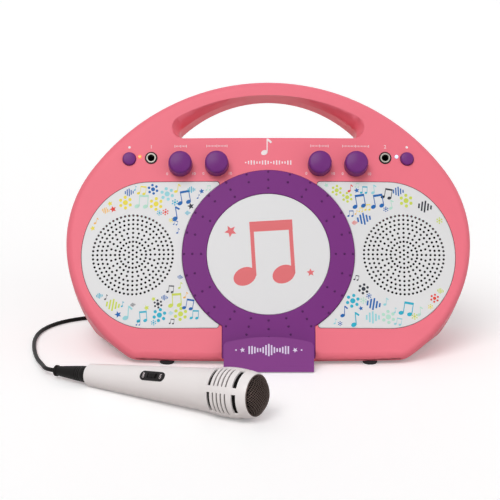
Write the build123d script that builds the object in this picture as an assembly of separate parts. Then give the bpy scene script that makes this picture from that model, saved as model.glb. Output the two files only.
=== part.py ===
from build123d import *
import math
import os

# ---- Housing: millimetres and degrees ----
housing_width = 392.0
housing_depth = 140.0
foot_height = 2.5
front_y = 12.0  # front bottom edge of the housing, behind the frame's origin

face_lean = 25.5
face_top = 276.0
face_half_width = 193.0
face_widest = 121.5
face_bow_radius = 2100.0

seam_back = 75.0  # the seam between the two shells, measured along the base
seam_lean = 12.5
seam_top = 253.5
seam_widest = 91.0

back_half_width = 187.0
back_top = 242.0
back_widest = 73.0

upper_side_radius = 121.0
lower_side_radius = 138.0
base_corner_radius = 26.0
wall = 2.5
face_wall = 4.5
front_rim_radius = 8.0
back_rim_radius = 10.0

# ---- Handle opening, as heights up the leaning face ----
handle_floor = 220.5
handle_crown = 264.0
handle_arch_radius = 132.7
handle_corner = 8.0
flare_crown = 263.5
flare_arch_radius = 200.0
flare_corner = 12.0
flare_depth = 15.0

clear = 5.0  # how far cutting tools run past a face

# ---- Face pieces, as heights up the face and distances from its middle ----
ring_height = 106.4
ring_radius = 81.9
disc_radius = 58.8
ring_neck = 43.7  # half width of the ring's lower extension
ring_bottom = 6.5
panel_thickness = 2.0
panel_gap = 0.35
ring_stand = 1.5
disc_stand = 0.9
panel_arc_x = 114.5
panel_arc_width = 64.3
panel_half_height = 71.3
panel_inner_x = 46.5
panel_corner = 3.0

# ---- Speakers and their grilles ----
speaker_x = 129.1
speaker_hole = 40.0
speaker_land = 44.0
speaker_flange = 46.0
speaker_seat = -13.0
speaker_depth = 34.0
magnet_radius = 22.0
magnet_height = 13.0
grille_rings = 5
grille_pitch = 7.6
grille_hole = 1.8

# ---- Grip bumps on the ring ----
bump_radius = 1.1
bump_height = 0.5
bump_rows = (80.2, 72.3, 64.1)

# ---- Controls, as places on the face ----
knob_places = {
    "echo": (-84.3, 193.8),
    "mic_volume": (-49.4, 193.8),
    "balance": (49.4, 193.8),
    "music_volume": (84.3, 193.8),
}
knob_radius = 11.6
knob_height = 14.0
knob_dome = 3.0
knob_gap = 1.0
knob_bore = 8.5
shaft_radius = 3.0
shaft_fit = 0.05
shaft_grip = 5.0  # how deep a shaft runs into its potentiometer
bushing_radius = 3.5
pot_size = 16.0
pot_height = 6.5
button_places = {"power": (-133.8, 200.6), "pairing": (133.8, 200.6)}
button_radius = 6.4
button_stand = 3.2
button_edge = 1.6
button_flange = 7.8
flange_thickness = 1.2
flange_gap = 0.55  # from the flange to the wall in front of it
hole_gap = 0.35
stem_radius = 1.6
switch_size = 6.0
switch_height = 3.5
led_places = {"power": (-123.7, 202.7), "pairing": (123.7, 202.7)}
led_radius = 1.75
led_stand = 0.9
led_edge = 0.8
led_flange = (2.35, 1.0)  # radius, thickness
jack_places = {"mic_jack_1": (-112.7, 201.3), "mic_jack_2": (112.7, 201.3)}
jack_bore = 3.25
bushing_outer = 4.8
nut_radius = 5.9
nut_height = 0.9
jack_body = 14.0
jack_depth = 30.0
jack_gap = 0.4
thread_stand = 0.5  # how far the bushing's thread shows above its nut
board_thickness = 1.6
board_height = -17.4  # top of the control board, below the middle of the face
board_size = (197.0, 26.0)
board_up = 196.0
board_corner = 2.0
board_post = 2.5  # radius
board_posts_beside = [(66.8, 187.0), (66.8, 205.0), (95.4, 196.0)]
board_post_middle = (0.0, 196.0)
switch_board_height = -18.4
switch_board_size = (23.0, 19.0)
switch_board_place = (132.0, 200.5)
switch_board_corner = 1.5
switch_board_post = 1.8  # radius
switch_posts_beside = [(141.4, 193.3), (141.4, 207.7), (122.4, 193.3)]

# ---- Ledge tray under the front, with its two rails ----
ledge_half_width = 42.0
ledge_crown = 24.8
ledge_shoulder = 19.2
ledge_corner = 4.0
ledge_stand = 13.5
ledge_thickness = 3.5
ledge_clearance = 1.0  # above the table
ledge_travel = 8.0
plate_half_width = 37.6
plate_bottom = 3.4
plate_thickness = 2.4
plate_length = 46.0
rail_width = 3.6
rail_lip = 3.2
rail_gap = 0.2
channel_length = 62.0
channel_height = 4.0

# ---- Battery compartment in the back ----
battery_width = 152.0
battery_height = 56.0
battery_bottom = 26.0
battery_depth = 29.0
battery_wall = 1.6
battery_rib = 18.0  # how far the rib between the rows stays inside the wall
contact_depth = 15.0
contact_size = 10.0
contact_thickness = 0.8
spring = (4.0, 2.0, 5.0)  # base radius, tip radius, height
door_overlap = 3.0
door_rebate = 1.2
door_gap = 0.3
door_plug = 1.0  # how far its plug stands past the wall
finger_notch = (26.0, 7.0)
notch_drop = 6.0
notch_depth = 1.4

# ---- Sockets, vents, feet and screws ----
main_board_size = (54.0, 62.0)
main_board_place = (108.0, 60.0)
main_board_gap = 12.0
inlet_places = {"dc_inlet": (112.0, 44.0), "line_in_jack": (112.0, 68.0)}
inlet_body = (12.0, 12.0)
inlet_bore = 2.75
inlet_pin = 1.0
inlet_hole = 4.2
line_body = (11.0, 12.0)
line_bore = 1.8
nose_gap = 0.15
board_leg = 2.5  # radius of the posts behind the main board
leg_inset = 4.0
vent_count = 9
vent_pitch = 8.0
vent_size = (3.0, 40.0)
vent_height = 132.0
feet_places = ((-96.0, 16.0), (96.0, 16.0), (-128.0, 122.0), (128.0, 122.0))
foot_radius = 7.0
foot_recess = 1.0
foot_gap = 0.1
foot_edge = 0.8
screw_places = ((-148.0, 22.0), (148.0, 22.0), (-150.0, 150.0), (150.0, 150.0), (-100.0, 194.0), (100.0, 194.0))
post_radius = 4.0
screw_radius = 1.5
screw_head_radius = 3.4
screw_head_height = 2.4
screw_head_gap = 0.2
screw_sink = 3.0
screw_grip = 12.0  # how far a screw runs in front of the seam

# ---- Microphone, lying in front ----
mic_rim = (-11.7, -134.9)  # middle of the grille's rim on the table plan
mic_turn = 32.5  # how far its axis turns towards the front
mic_length = 184.0
mic_tail_radius = 10.0
mic_neck = (133.0, 18.7)  # distance from the tail, radius
mic_head = (157.0, 21.6)
mic_rim_radius = 18.9
mic_wall = 2.0
mic_dome = 9.0
relief_length = 35.0
relief_radius = 7.0
relief_tip_radius = 4.4
collar_radius = 5.2
collar_length = 3.0
switch_place = 84.0
switch_angle = 41.0
switch_plate_size = (27.6, 8.9)
switch_slot = (11.0, 4.4)
switch_throw = 2.0
switch_sink = 1.5  # how deep the plate's foot lies in the handle
switch_plate_height = 2.0
switch_body = (16.0, 7.0, 5.0)
slider_stand = 1.2
slider_grips = (-1.7, 0.0, 1.7)
grip_size = (0.8, 0.5)
capsule_radius = 9.0
capsule_length = 14.0
capsule_place = 155.0

# ---- Cord, its coil and its plug ----
cord_radius = 2.0
cord_start = 12.0  # straight out of the strain relief
cord_route = [
    (-211.0, 7.5, 4.4),
    (-219.5, 32.0, 2.3),
    (-226.5, 63.0, 2.0),
    (-230.5, 96.0, 2.2),
    (-227.5, 129.0, 2.0),
    (-211.0, 157.0, 2.1),
    (-182.0, 174.0, 2.0),
    (-152.0, 178.5, 2.2),
    (-132.0, 178.0, 2.0),
]
coil_center = (-118.0, 200.0)
coil_inner = 16.0
coil_outer = 28.0
coil_height = 16.0
coil_edge = 1.5
tail_route = [(-104.0, 178.2, 5.4), (-90.0, 179.0, 5.2), (-77.0, 183.5, 5.2)]
plug_radius = 5.2
plug_length = 26.0
boot_length = 14.0
tip_radius = 3.15
tip_length = 30.0

# ---- Slots and small fits of the microphone and the sockets ----
nut_seat = 0.5
slot_groups = 5
slot_span = 58.0
first_rib = -23.0
rear_slot = (135.5, 2.4)  # distance from the tail, width
front_slot = (160.0, 4.4)
relief_peg = 2.5
mesh_radius = 18.1
mesh_seat = 1.6


standing = (Align.CENTER, Align.CENTER, Align.MIN)


def leaning_plane(back, lean):
    """Upright plane along X whose top leans back, with +Z of the plane towards the front."""
    angle = math.radians(lean)
    return Plane(
        origin=(0, front_y + back, foot_height),
        x_dir=(1, 0, 0),
        z_dir=(0, -math.cos(angle), math.sin(angle)),
    )


face_plane = leaning_plane(0, face_lean)
seam_plane = leaning_plane(seam_back, seam_lean)
back_plane = leaning_plane(housing_depth, 0)


def arc(center, radius, start, end):
    """Arc about a centre from one point to another, by its middle point."""
    a = math.atan2(start[1] - center[1], start[0] - center[0])
    b = math.atan2(end[1] - center[1], end[0] - center[0])
    middle = (a + b) / 2
    point = (center[0] + radius * math.cos(middle), center[1] + radius * math.sin(middle))
    return ThreePointArc(start, point, end)


def housing_outline(half_width, widest, top, inset=0.0):
    """D shape of the housing: base line, base corners, lower and upper side arcs, top arc."""
    half_width -= inset
    upper = upper_side_radius - inset
    lower = lower_side_radius - inset
    corner = base_corner_radius - inset
    side_x = half_width - upper
    excess = half_width - (top - inset - widest)
    drop = excess * (2 * side_x - excess) / (2 * (side_x - excess))
    crown_radius = top - inset - widest + drop
    crown_center = (0, widest - drop)
    reach = math.hypot(side_x, drop)
    shoulder = (crown_radius * side_x / reach, widest - drop + crown_radius * drop / reach)
    side = (half_width, widest)
    lower_center = (half_width - lower, widest)
    corner_y = inset + corner
    corner_x = lower_center[0] + math.sqrt((lower - corner) ** 2 - (widest - corner_y) ** 2)
    slope = math.atan2(corner_y - widest, corner_x - lower_center[0])
    heel = (lower_center[0] + lower * math.cos(slope), widest + lower * math.sin(slope))
    toe = (corner_x, inset)
    with BuildSketch() as sketch:
        with BuildLine() as line:
            Line((0, inset), toe)
            lean = (slope - math.pi / 2) / 2
            turn = (corner_x + corner * math.cos(lean), corner_y + corner * math.sin(lean))
            ThreePointArc(toe, turn, heel)
            arc(lower_center, lower, heel, side)
            arc((side_x, widest), upper, side, shoulder)
            arc(crown_center, crown_radius, shoulder, (0, top - inset))
            mirror(about=Plane.YZ)
        make_face()
    return sketch.sketch


def opening_outline(crown, radius, corner, grow=0.0):
    """Arch over a level floor, with rounded ends."""
    floor = handle_floor - grow
    radius += grow
    corner += grow
    crown += grow
    center_y = crown - radius
    corner_x = math.sqrt((radius - corner) ** 2 - (floor + corner - center_y) ** 2)
    slope = math.atan2(floor + corner - center_y, corner_x)
    shoulder = (radius * math.cos(slope), center_y + radius * math.sin(slope))
    middle = (slope - math.pi / 2) / 2
    turn = (corner_x + corner * math.cos(middle), floor + corner + corner * math.sin(middle))
    with BuildSketch() as sketch:
        with BuildLine() as line:
            Line((0, floor), (corner_x, floor))
            ThreePointArc((corner_x, floor), turn, shoulder)
            arc((0, center_y), radius, shoulder, (0, crown))
            mirror(about=Plane.YZ)
        make_face()
    return sketch.sketch


def both_sides(places):
    """The same places left and right of the middle."""
    return [(side * x, y) for side in (-1, 1) for x, y in places]


def bow_cylinder(offset):
    """Everything behind the bowed face, moved out by an offset."""
    axis = Plane(
        origin=face_plane.from_local_coords((0, face_top / 2, -face_bow_radius)),
        x_dir=(1, 0, 0),
        z_dir=face_plane.y_dir,
    )
    return axis * Cylinder(face_bow_radius + offset, 2 * face_top)


def section(plane, half_width, widest, top, inset=0.0):
    return plane * housing_outline(half_width, widest, top, inset)


def face_section(inset=0.0):
    return section(face_plane, face_half_width, face_widest, face_top, inset)


def seam_section(inset=0.0):
    return section(seam_plane, housing_width / 2, seam_widest, seam_top, inset)


def back_section(inset=0.0):
    return section(back_plane, back_half_width, back_widest, back_top, inset)


def on_face(sketch, low, high):
    """Prism square to the leaning face, between two heights above its middle."""
    return extrude(face_plane.offset(low) * sketch, amount=high - low, dir=face_plane.z_dir)


def skin(sketch, low, high):
    """Curved sheet that follows the bowed face, between two heights above it."""
    deepest = face_depth_at(face_half_width) + low
    prism = on_face(sketch, deepest - 1, high + 1)
    return (prism & bow_cylinder(high)) - bow_cylinder(low)


def face_depth_at(x):
    """Height of the bowed face beside its middle, a negative number."""
    return math.sqrt(face_bow_radius**2 - x**2) - face_bow_radius


def handle_hole(grow=0.0):
    """Space of the handle opening: a mouth that narrows inwards, then straight through."""
    back = opening_outline(handle_crown, handle_arch_radius, handle_corner, grow)
    front = opening_outline(flare_crown, flare_arch_radius, flare_corner, grow)
    mouth = loft([face_plane * front, face_plane.offset(-flare_depth) * back], ruled=True)
    return [on_face(back, -housing_depth, -flare_depth), mouth]


# ---------------- Housing ----------------


def on_back(sketch, low, high):
    """Prism square to the upright back wall, between two distances in front of it."""
    return extrude(back_plane.offset(low) * sketch, amount=high - low, dir=back_plane.z_dir)


def front_body():
    """Full outer form of the front shell, with its bowed face and rounded rim."""
    solid = loft([face_section(), seam_section()], ruled=True) & bow_cylinder(0)
    face = solid.faces().filter_by(GeomType.CYLINDER).sort_by(SortBy.AREA)[-1]
    return fillet(face.edges(), front_rim_radius)


def front_cavity():
    """Hollow of the front shell, leaving the handle's lining and the tray's tunnel."""
    hollow = loft([face_section(wall), seam_section(wall)], ruled=True) & bow_cylinder(-face_wall)
    tunnel = tray_channel(wall)
    return hollow - handle_hole(wall) - tunnel


def tray_channel(grow=0.0):
    """Channel in the base that the ledge tray and its rails lie in."""
    half = plate_half_width + rail_gap + rail_width + grow
    top = foot_height + channel_height + grow
    start = front_y - clear
    end = front_y + channel_length + grow
    return Pos(0, (start + end) / 2, top / 2) * Box(2 * half, end - start, top)


def screw_post(x, z, radius, start, end):
    """Round post along the depth of the housing, between two distances behind the front edge."""
    middle = (start + end) / 2 + front_y
    return Pos(x, middle, z) * Rot(90, 0, 0) * Cylinder(radius, end - start)


def seam_at(z):
    """Distance of the seam behind the front bottom edge, at a height above the table."""
    return seam_back + (z - foot_height) * math.tan(math.radians(seam_lean))


def panel_outline(side, inset=0.0):
    """One white panel: half an ellipse outside, straight inner end, cut by the ring."""
    height = 2 * (panel_half_height - inset)
    inner = panel_inner_x + inset
    width = panel_arc_x - inner
    end = Pos(side * panel_arc_x, ring_height) * Ellipse(
        panel_arc_width - inset, panel_half_height - inset
    )
    block = Pos(side * (inner + width / 2), ring_height) * Rectangle(width, height)
    corners = (Pos(side * (inner + 1.5 * panel_corner), ring_height)) * RectangleRounded(
        3 * panel_corner, height, panel_corner
    )
    shape = end + block - Pos(side * inner, ring_height) * Rectangle(3 * panel_corner, height + 1)
    shape = shape + corners
    return shape - Pos(0, ring_height) * Circle(ring_radius + inset)


def ring_outline(grow=0.0):
    """Round ring with its lower neck, filled in the middle."""
    neck_top = ring_height - ring_bottom
    neck = Pos(0, ring_bottom + neck_top / 2) * Rectangle(2 * (ring_neck + grow), neck_top)
    return Pos(0, ring_height) * Circle(ring_radius + grow) + neck


def face_recess():
    """Shallow recess of the face that the panels, ring and disc lie in."""
    sketch = panel_outline(-1) + panel_outline(1) + ring_outline(panel_gap)
    return on_face(sketch, 1 - 3 * face_wall, clear) - bow_cylinder(-panel_thickness)


def front_shell():
    shell = front_body() - front_cavity() - handle_hole() - face_recess()
    lands = [
        on_face(Pos(side * speaker_x, ring_height) * Circle(speaker_land), speaker_seat, -face_wall)
        for side in (-1, 1)
    ]
    shell = shell + [land & bow_cylinder(-panel_thickness - wall / 2) for land in lands]
    posts = [screw_post(x, z, post_radius, 0, seam_at(z)) for x, z in screw_places]
    keep = loft([face_section(wall), seam_section(wall)], ruled=True) & bow_cylinder(-face_wall + 1)
    shell = shell + [(post & keep) - handle_hole() for post in posts]
    shell = shell + board_posts()
    holes = []
    for side in (-1, 1):
        spot = Pos(side * speaker_x, ring_height)
        holes.append(on_face(spot * Circle(speaker_hole), speaker_seat - 1, clear))
    for x, y in knob_places.values():
        holes.append(on_face(Pos(x, y) * Circle(bushing_radius + hole_gap), 3 * -face_wall, clear))
    for x, y in button_places.values():
        holes.append(on_face(Pos(x, y) * Circle(button_radius + hole_gap), 3 * -face_wall, clear))
    for x, y in led_places.values():
        holes.append(on_face(Pos(x, y) * Circle(led_radius + hole_gap / 2), 3 * -face_wall, clear))
    for x, y in jack_places.values():
        seat = face_depth_at(x) - nut_seat
        holes.append(on_face(Pos(x, y) * Circle(bushing_outer + hole_gap), 3 * -face_wall, clear))
        holes.append(on_face(Pos(x, y) * Circle(nut_radius + hole_gap), seat, clear))
    for x, z in screw_places:
        holes.append(screw_post(x, z, screw_radius, seam_at(z) - 14, seam_at(z) + 5))
    for x, y in feet_places:
        if y < seam_back:
            holes.append(foot_hole(x, y))
    return shell - holes - tray_channel()


def foot_hole(x, y):
    """Cut for a foot, up to its flat seat in the base."""
    return Pos(x, front_y + y, foot_height) * Cylinder(foot_radius + foot_gap, 2 * foot_recess)


def board_posts():
    """Posts behind the face that carry the three control boards."""
    posts = []
    for x, y in [*both_sides(board_posts_beside), board_post_middle]:
        posts.append(on_face(Pos(x, y) * Circle(board_post), board_height, -face_wall + 1))
    for x, y in both_sides(switch_posts_beside):
        post = Pos(x, y) * Circle(switch_board_post)
        posts.append(on_face(post, switch_board_height, -face_wall - 3))
    return posts


def rear_shell():
    body = loft([seam_section(), back_section()], ruled=True)
    body = fillet(body.faces().sort_by(Axis.Y)[-1].edges(), back_rim_radius)
    hollow = loft([seam_section(wall), back_section(wall)], ruled=True)
    hollow = hollow - handle_hole(wall)
    hollow = hollow & (Pos(0, front_y + housing_depth - wall - 200, 150) * Box(500, 400, 400))
    shell = body - hollow - handle_hole()
    top = front_y + housing_depth
    for x, z in screw_places:
        shell = shell + screw_post(x, z, post_radius, seam_at(z), housing_depth - wall / 2)
        shell = shell - screw_post(x, z, screw_radius + 0.2, seam_at(z) - 3, housing_depth + 1)
        sink = housing_depth - screw_sink
        shell = shell - screw_post(x, z, screw_head_radius + 0.2, sink, housing_depth + 1)
    seam = split_side()
    shell = shell & seam
    board_x, board_z = main_board_place
    half_x, half_z = main_board_size[0] / 2 - 4, main_board_size[1] / 2 - 4
    for x in (board_x - half_x, board_x + half_x):
        for z in (board_z - half_z, board_z + half_z):
            shell = shell + on_back(Pos(x, z - foot_height) * Circle(2.5), wall / 2, main_board_gap)
    cuts = [vent(i) for i in range(vent_count)]
    opening = Rectangle(battery_width, battery_height)
    rim = Rectangle(battery_width + 2 * door_overlap, battery_height + 2 * door_overlap)
    spot = Pos(0, battery_bottom + battery_height / 2 - foot_height)
    cuts.append(on_back(spot * opening, -1, 2 * wall))
    cuts.append(on_back(spot * rim, -1, door_rebate))
    for x, z in inlet_places.values():
        cuts.append(on_back(Pos(x, z - foot_height) * Circle(inlet_hole), -1, 2 * wall))
    for x, y in feet_places:
        if y > seam_back:
            cuts.append(foot_hole(x, y))
    return shell - cuts


def split_side():
    """Everything behind the seam."""
    return seam_plane * (Pos(0, 0, -200) * Box(600, 900, 400))


def vent(index):
    """One tall slot of the rear vent."""
    x = (index - (vent_count - 1) / 2) * vent_pitch
    slot = Pos(x, vent_height - foot_height) * SlotOverall(vent_size[1], vent_size[0], rotation=90)
    return on_back(slot, -1, 2 * wall)


# ---------------- Face pieces ----------------


def ring_of_holes(count, radius, hole):
    """Evenly spread holes on a circle, starting half a step round."""
    turns = [math.pi / count * (2 * i + 1) for i in range(count)]
    return [
        Pos(radius * math.cos(turn), radius * math.sin(turn)) * RegularPolygon(hole, 6)
        for turn in turns
    ]


def grille_panel(side):
    """Curved panel with rings of sound holes."""
    holes = [RegularPolygon(grille_hole, 6)]
    for ring in range(1, grille_rings + 1):
        holes += ring_of_holes(6 * ring, ring * grille_pitch, grille_hole)
    spot = Pos(side * speaker_x, ring_height)
    low = face_depth_at(speaker_x + grille_rings * grille_pitch) - 2 * panel_thickness
    drills = [on_face(spot * hole, low, clear) for hole in holes]
    return skin(panel_outline(side, panel_gap), -panel_thickness, 0) - drills


def bump_places():
    """Rows of grip bumps every 15 degrees, three and two in turn."""
    places = []
    for step in range(24):
        angle = math.radians(90 + 15 * step)
        full_row = step % 2 == 0 or step in (11, 13)
        rows = bump_rows if full_row else bump_rows[:2]
        for radius in rows:
            places.append((radius * math.cos(angle), ring_height + radius * math.sin(angle)))
    return places


def grip_bump(x, y):
    """Small six-sided bump that stands on the ring."""
    top = face_depth_at(x) + ring_stand + bump_height
    return on_face(Pos(x, y) * RegularPolygon(bump_radius, 6), face_depth_at(x) + 1, top)


def rest_ring():
    """Purple ring with its lower neck and its moulded grip bumps."""
    disc = Pos(0, ring_height) * Circle(disc_radius)
    ring = skin(ring_outline() - disc, -panel_thickness, ring_stand)
    return ring + [grip_bump(x, y) for x, y in bump_places()]


def rest_disc():
    sketch = Pos(0, ring_height) * Circle(disc_radius - panel_gap / 2)
    return skin(sketch, -panel_thickness, disc_stand)


# ---------------- Controls ----------------


def knob(name):
    """Push-on knob: slightly tapered skirt, domed top, blind bore for the shaft."""
    x, y = knob_places[name]
    base = face_depth_at(x) + knob_gap
    with BuildSketch(Plane.XZ) as profile:
        with BuildLine():
            Line((0, 0), (knob_radius, 0))
            Line((knob_radius, 0), (knob_radius - 0.5, knob_height - knob_dome))
            Spline(
                (knob_radius - 0.5, knob_height - knob_dome),
                (knob_radius - 3, knob_height - 0.9),
                (0, knob_height),
                tangents=[(0, 1), (-1, 0)],
            )
            Line((0, knob_height), (0, 0))
        make_face()
    body = revolve(profile.sketch, Axis.Z)
    body = body - Pos(0, 0, knob_bore / 2) * Cylinder(shaft_radius + shaft_fit, knob_bore)
    return face_plane.offset(base) * (Pos(x, y) * body)


def knob_shaft(name):
    x, y = knob_places[name]
    top = face_depth_at(x) + knob_gap + knob_bore
    return on_face(Pos(x, y) * Circle(shaft_radius), board_height + pot_height - shaft_grip, top)


def potentiometers():
    """One rotary control per knob: square can on the board and a round bushing."""
    pots = []
    can_top = board_height + pot_height
    low = can_top - shaft_grip - 0.2
    for x, y in knob_places.values():
        can = on_face(Pos(x, y) * Rectangle(pot_size, pot_size), board_height, can_top)
        top = face_depth_at(x) - 1
        bushing = on_face(Pos(x, y) * Circle(bushing_radius), can_top, top)
        bore = on_face(Pos(x, y) * Circle(shaft_radius + shaft_fit), low, top + 1)
        pots.append(can + bushing - bore)
    return pots


def outermost(solid):
    """The face of a solid that lies furthest out, square to the leaning face."""
    return solid.faces().sort_by(Axis(face_plane.origin, face_plane.z_dir))[-1]


def push_button(name):
    """Round button: domed cap, guide flange behind the wall and a stem for the switch."""
    x, y = button_places[name]
    face = face_depth_at(x)
    flange = face - face_wall - flange_gap
    low = flange - flange_thickness
    cap = on_face(Pos(x, y) * Circle(button_radius), low, face + button_stand)
    cap = fillet(outermost(cap).edges(), button_edge)
    cap = cap + on_face(Pos(x, y) * Circle(button_flange), low, flange)
    end = switch_board_height + switch_height - 0.5
    return cap + on_face(Pos(x, y) * Circle(stem_radius), end, flange - 1)


def tact_switches():
    """Square switch under each button, with a well for its stem."""
    switches = []
    for x, y in button_places.values():
        top = switch_board_height + switch_height
        can = on_face(Pos(x, y) * Rectangle(switch_size, switch_size), switch_board_height, top)
        well = on_face(Pos(x, y) * Circle(stem_radius + 0.1), top - 2.4, top + 1)
        switches.append(can - well)
    return switches


def led(name):
    """Light with a domed lens that shows in the face and a flange on its board."""
    x, y = led_places[name]
    radius, thickness = led_flange
    low = switch_board_height
    lens = on_face(Pos(x, y) * Circle(led_radius), low, face_depth_at(x) + led_stand)
    lens = fillet(outermost(lens).edges(), led_edge)
    return lens + on_face(Pos(x, y) * Circle(radius), low, low + thickness)


def mic_jack(name):
    """Body of a 6.35 mm socket behind the face."""
    x, y = jack_places[name]
    top = face_depth_at(x) - nut_seat - face_wall - jack_gap
    body = on_face(Pos(x, y) * Rectangle(jack_body, jack_body), -jack_depth, top)
    return body - on_face(Pos(x, y) * Circle(jack_bore), -jack_depth + 2, top + 1)


def jack_bushings():
    """Threaded metal bushing of each socket, through the face."""
    parts = []
    for x, y in jack_places.values():
        low = face_depth_at(x) - nut_seat - face_wall - 0.4
        ring = Circle(bushing_outer) - Circle(jack_bore)
        parts.append(on_face(Pos(x, y) * ring, low, face_depth_at(x) - nut_seat + nut_height + 0.5))
    return parts


def jack_nuts():
    parts = []
    for x, y in jack_places.values():
        seat = face_depth_at(x) - nut_seat
        ring = Circle(nut_radius) - Circle(bushing_outer + 0.02)
        parts.append(on_face(Pos(x, y) * ring, seat, seat + nut_height))
    return parts


def control_board():
    low = board_height - board_thickness
    sketch = Pos(0, board_up) * RectangleRounded(*board_size, board_corner)
    return on_face(sketch, low, board_height)


def switch_boards():
    low = switch_board_height - board_thickness
    board = RectangleRounded(*switch_board_size, switch_board_corner)
    places = both_sides([switch_board_place])
    return [on_face(Pos(x, y) * board, low, switch_board_height) for x, y in places]


# ---------------- Speakers ----------------


def speaker_part(side, profile_points):
    """Turned speaker part: points are distances behind its seat and radii."""
    with BuildSketch(Plane.XZ) as profile:
        with BuildLine():
            Polyline(*[(radius, -depth) for depth, radius in profile_points], close=True)
        make_face()
    turned = revolve(profile.sketch, Axis.Z)
    return face_plane.offset(speaker_seat) * (Pos(side * speaker_x, ring_height) * turned)


def speaker_basket(side):
    neck = speaker_depth - magnet_height
    return speaker_part(
        side,
        [
            (0, speaker_hole - 1), (0, speaker_flange), (1.6, speaker_flange), (1.6, speaker_hole + 1),
            (neck - 2, magnet_radius + 2), (neck, magnet_radius + 2), (neck, 8), (neck - 1.5, 8),
            (neck - 1.5, magnet_radius - 1), (2.5, speaker_hole - 1),
        ],
    )


def speaker_cone(side):
    """Paper cone with its dust cap and rolled edge."""
    edge = speaker_hole - 1.2
    return speaker_part(
        side,
        [
            (0.3, edge), (-0.8, edge - 2.5), (0.3, edge - 5), (14, 10), (11, 6), (10, 0),
            (11, 0), (12, 6), (16, 9.5), (1.5, edge - 5), (0.6, edge - 2.5), (1.5, edge),
        ],
    )


def speaker_magnet(side):
    neck = speaker_depth - magnet_height
    return speaker_part(
        side,
        [(neck, 0), (neck, magnet_radius), (speaker_depth, magnet_radius), (speaker_depth, 0)],
    )


# ---------------- Back: boards, sockets, battery compartment ----------------


def main_board():
    x, z = main_board_place
    board = Pos(x, z - foot_height) * RectangleRounded(*main_board_size, board_corner)
    return on_back(board, main_board_gap, main_board_gap + board_thickness)


def dc_inlet():
    """Barrel inlet for a power adapter, with its centre pin."""
    x, z = inlet_places["dc_inlet"]
    spot = Pos(x, z - foot_height)
    body = on_back(spot * Rectangle(*inlet_body), wall + 0.2, main_board_gap)
    nose = on_back(spot * Circle(inlet_hole - nose_gap), 0.3, wall + 0.2)
    bore = on_back(spot * Circle(inlet_bore), 0, main_board_gap - 1.5)
    pin = on_back(spot * Circle(inlet_pin), 1.0, main_board_gap - 1)
    return body + nose - bore + pin


def line_in_jack():
    """3.5 mm line input."""
    x, z = inlet_places["line_in_jack"]
    spot = Pos(x, z - foot_height)
    body = on_back(spot * Rectangle(*line_body), wall + 0.2, main_board_gap)
    nose = on_back(spot * Circle(inlet_hole - nose_gap), 0.3, wall + 0.2)
    return body + nose - on_back(spot * Circle(line_bore), 0, main_board_gap - 1)


def battery_spot():
    """Middle of the battery opening on the back plane."""
    return Pos(0, battery_bottom + battery_height / 2 - foot_height)


def battery_box():
    """Tray for six cells in two rows, open to the back."""
    outer = Rectangle(battery_width + 2 * battery_wall, battery_height + 2 * battery_wall)
    inner = Rectangle(battery_width, battery_height)
    box = on_back(battery_spot() * outer, wall, wall + battery_depth + battery_wall)
    box = box - on_back(battery_spot() * inner, 0, wall + battery_depth)
    rib = battery_spot() * Rectangle(battery_width, battery_wall)
    return box + on_back(rib, wall + battery_rib, wall + battery_depth)


def battery_contacts():
    """Spring contacts on the end walls of the battery tray."""
    parts = []
    for side in (-1, 1):
        for row in (-1, 1):
            place = back_plane * Pos(
                side * battery_width / 2, battery_spot().position.Y + row * battery_height / 4, wall + 15
            )
            leaf = place * Box(0.8, 10, 10, align=(Align.MAX if side > 0 else Align.MIN, Align.CENTER, Align.CENTER))
            cone = place * (Rot(0, -90 * side, 0) * Pos(0, 0, 0.8) * Cone(4, 2, 5, align=(Align.CENTER, Align.CENTER, Align.MIN)))
            parts.append(leaf + cone)
    return parts


def battery_door():
    """Lift-off door: plate in the rebate, plug in the opening, finger notch at the top."""
    rim = 2 * (door_overlap - door_gap)
    plate = Rectangle(battery_width + rim, battery_height + rim)
    plug = Rectangle(battery_width - 2 * door_gap, battery_height - 2 * door_gap)
    door = on_back(battery_spot() * plate, 0, door_rebate)
    door = door + on_back(battery_spot() * plug, door_rebate, wall + door_plug)
    notch = battery_spot() * Pos(0, battery_height / 2 - notch_drop) * SlotOverall(*finger_notch)
    return door - on_back(notch, -1, notch_depth)


# ---------------- Ledge tray ----------------


def above(height):
    """Everything above a height over the table."""
    return Pos(0, 0, height + 250) * Box(900, 900, 500)


def ledge_tray():
    """Lip parallel to the face, with a plate behind it that slides in the base."""
    with BuildSketch() as sketch:
        with BuildLine():
            low = -3 * ledge_stand
            Line((-ledge_half_width, low), (-ledge_half_width, ledge_shoulder))
            ThreePointArc((-ledge_half_width, ledge_shoulder), (0, ledge_crown), (ledge_half_width, ledge_shoulder))
            Line((ledge_half_width, ledge_shoulder), (ledge_half_width, low))
            Line((ledge_half_width, low), (-ledge_half_width, low))
        make_face()
        fillet(sketch.vertices().group_by(Axis.Y)[-1], ledge_corner)
    lip = on_face(sketch.sketch, ledge_stand - ledge_thickness, ledge_stand) & above(ledge_clearance)
    front_end = front_y - (ledge_stand - ledge_thickness / 2) / math.cos(math.radians(face_lean))
    length = front_y + plate_length - front_end
    plate = Pos(0, front_end + length / 2, plate_bottom + plate_thickness / 2) * Box(
        2 * plate_half_width, length, plate_thickness
    )
    behind = face_plane * (Pos(0, 0, ledge_stand - 500) * Box(900, 900, 1000))
    return (plate & behind) + lip


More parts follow.
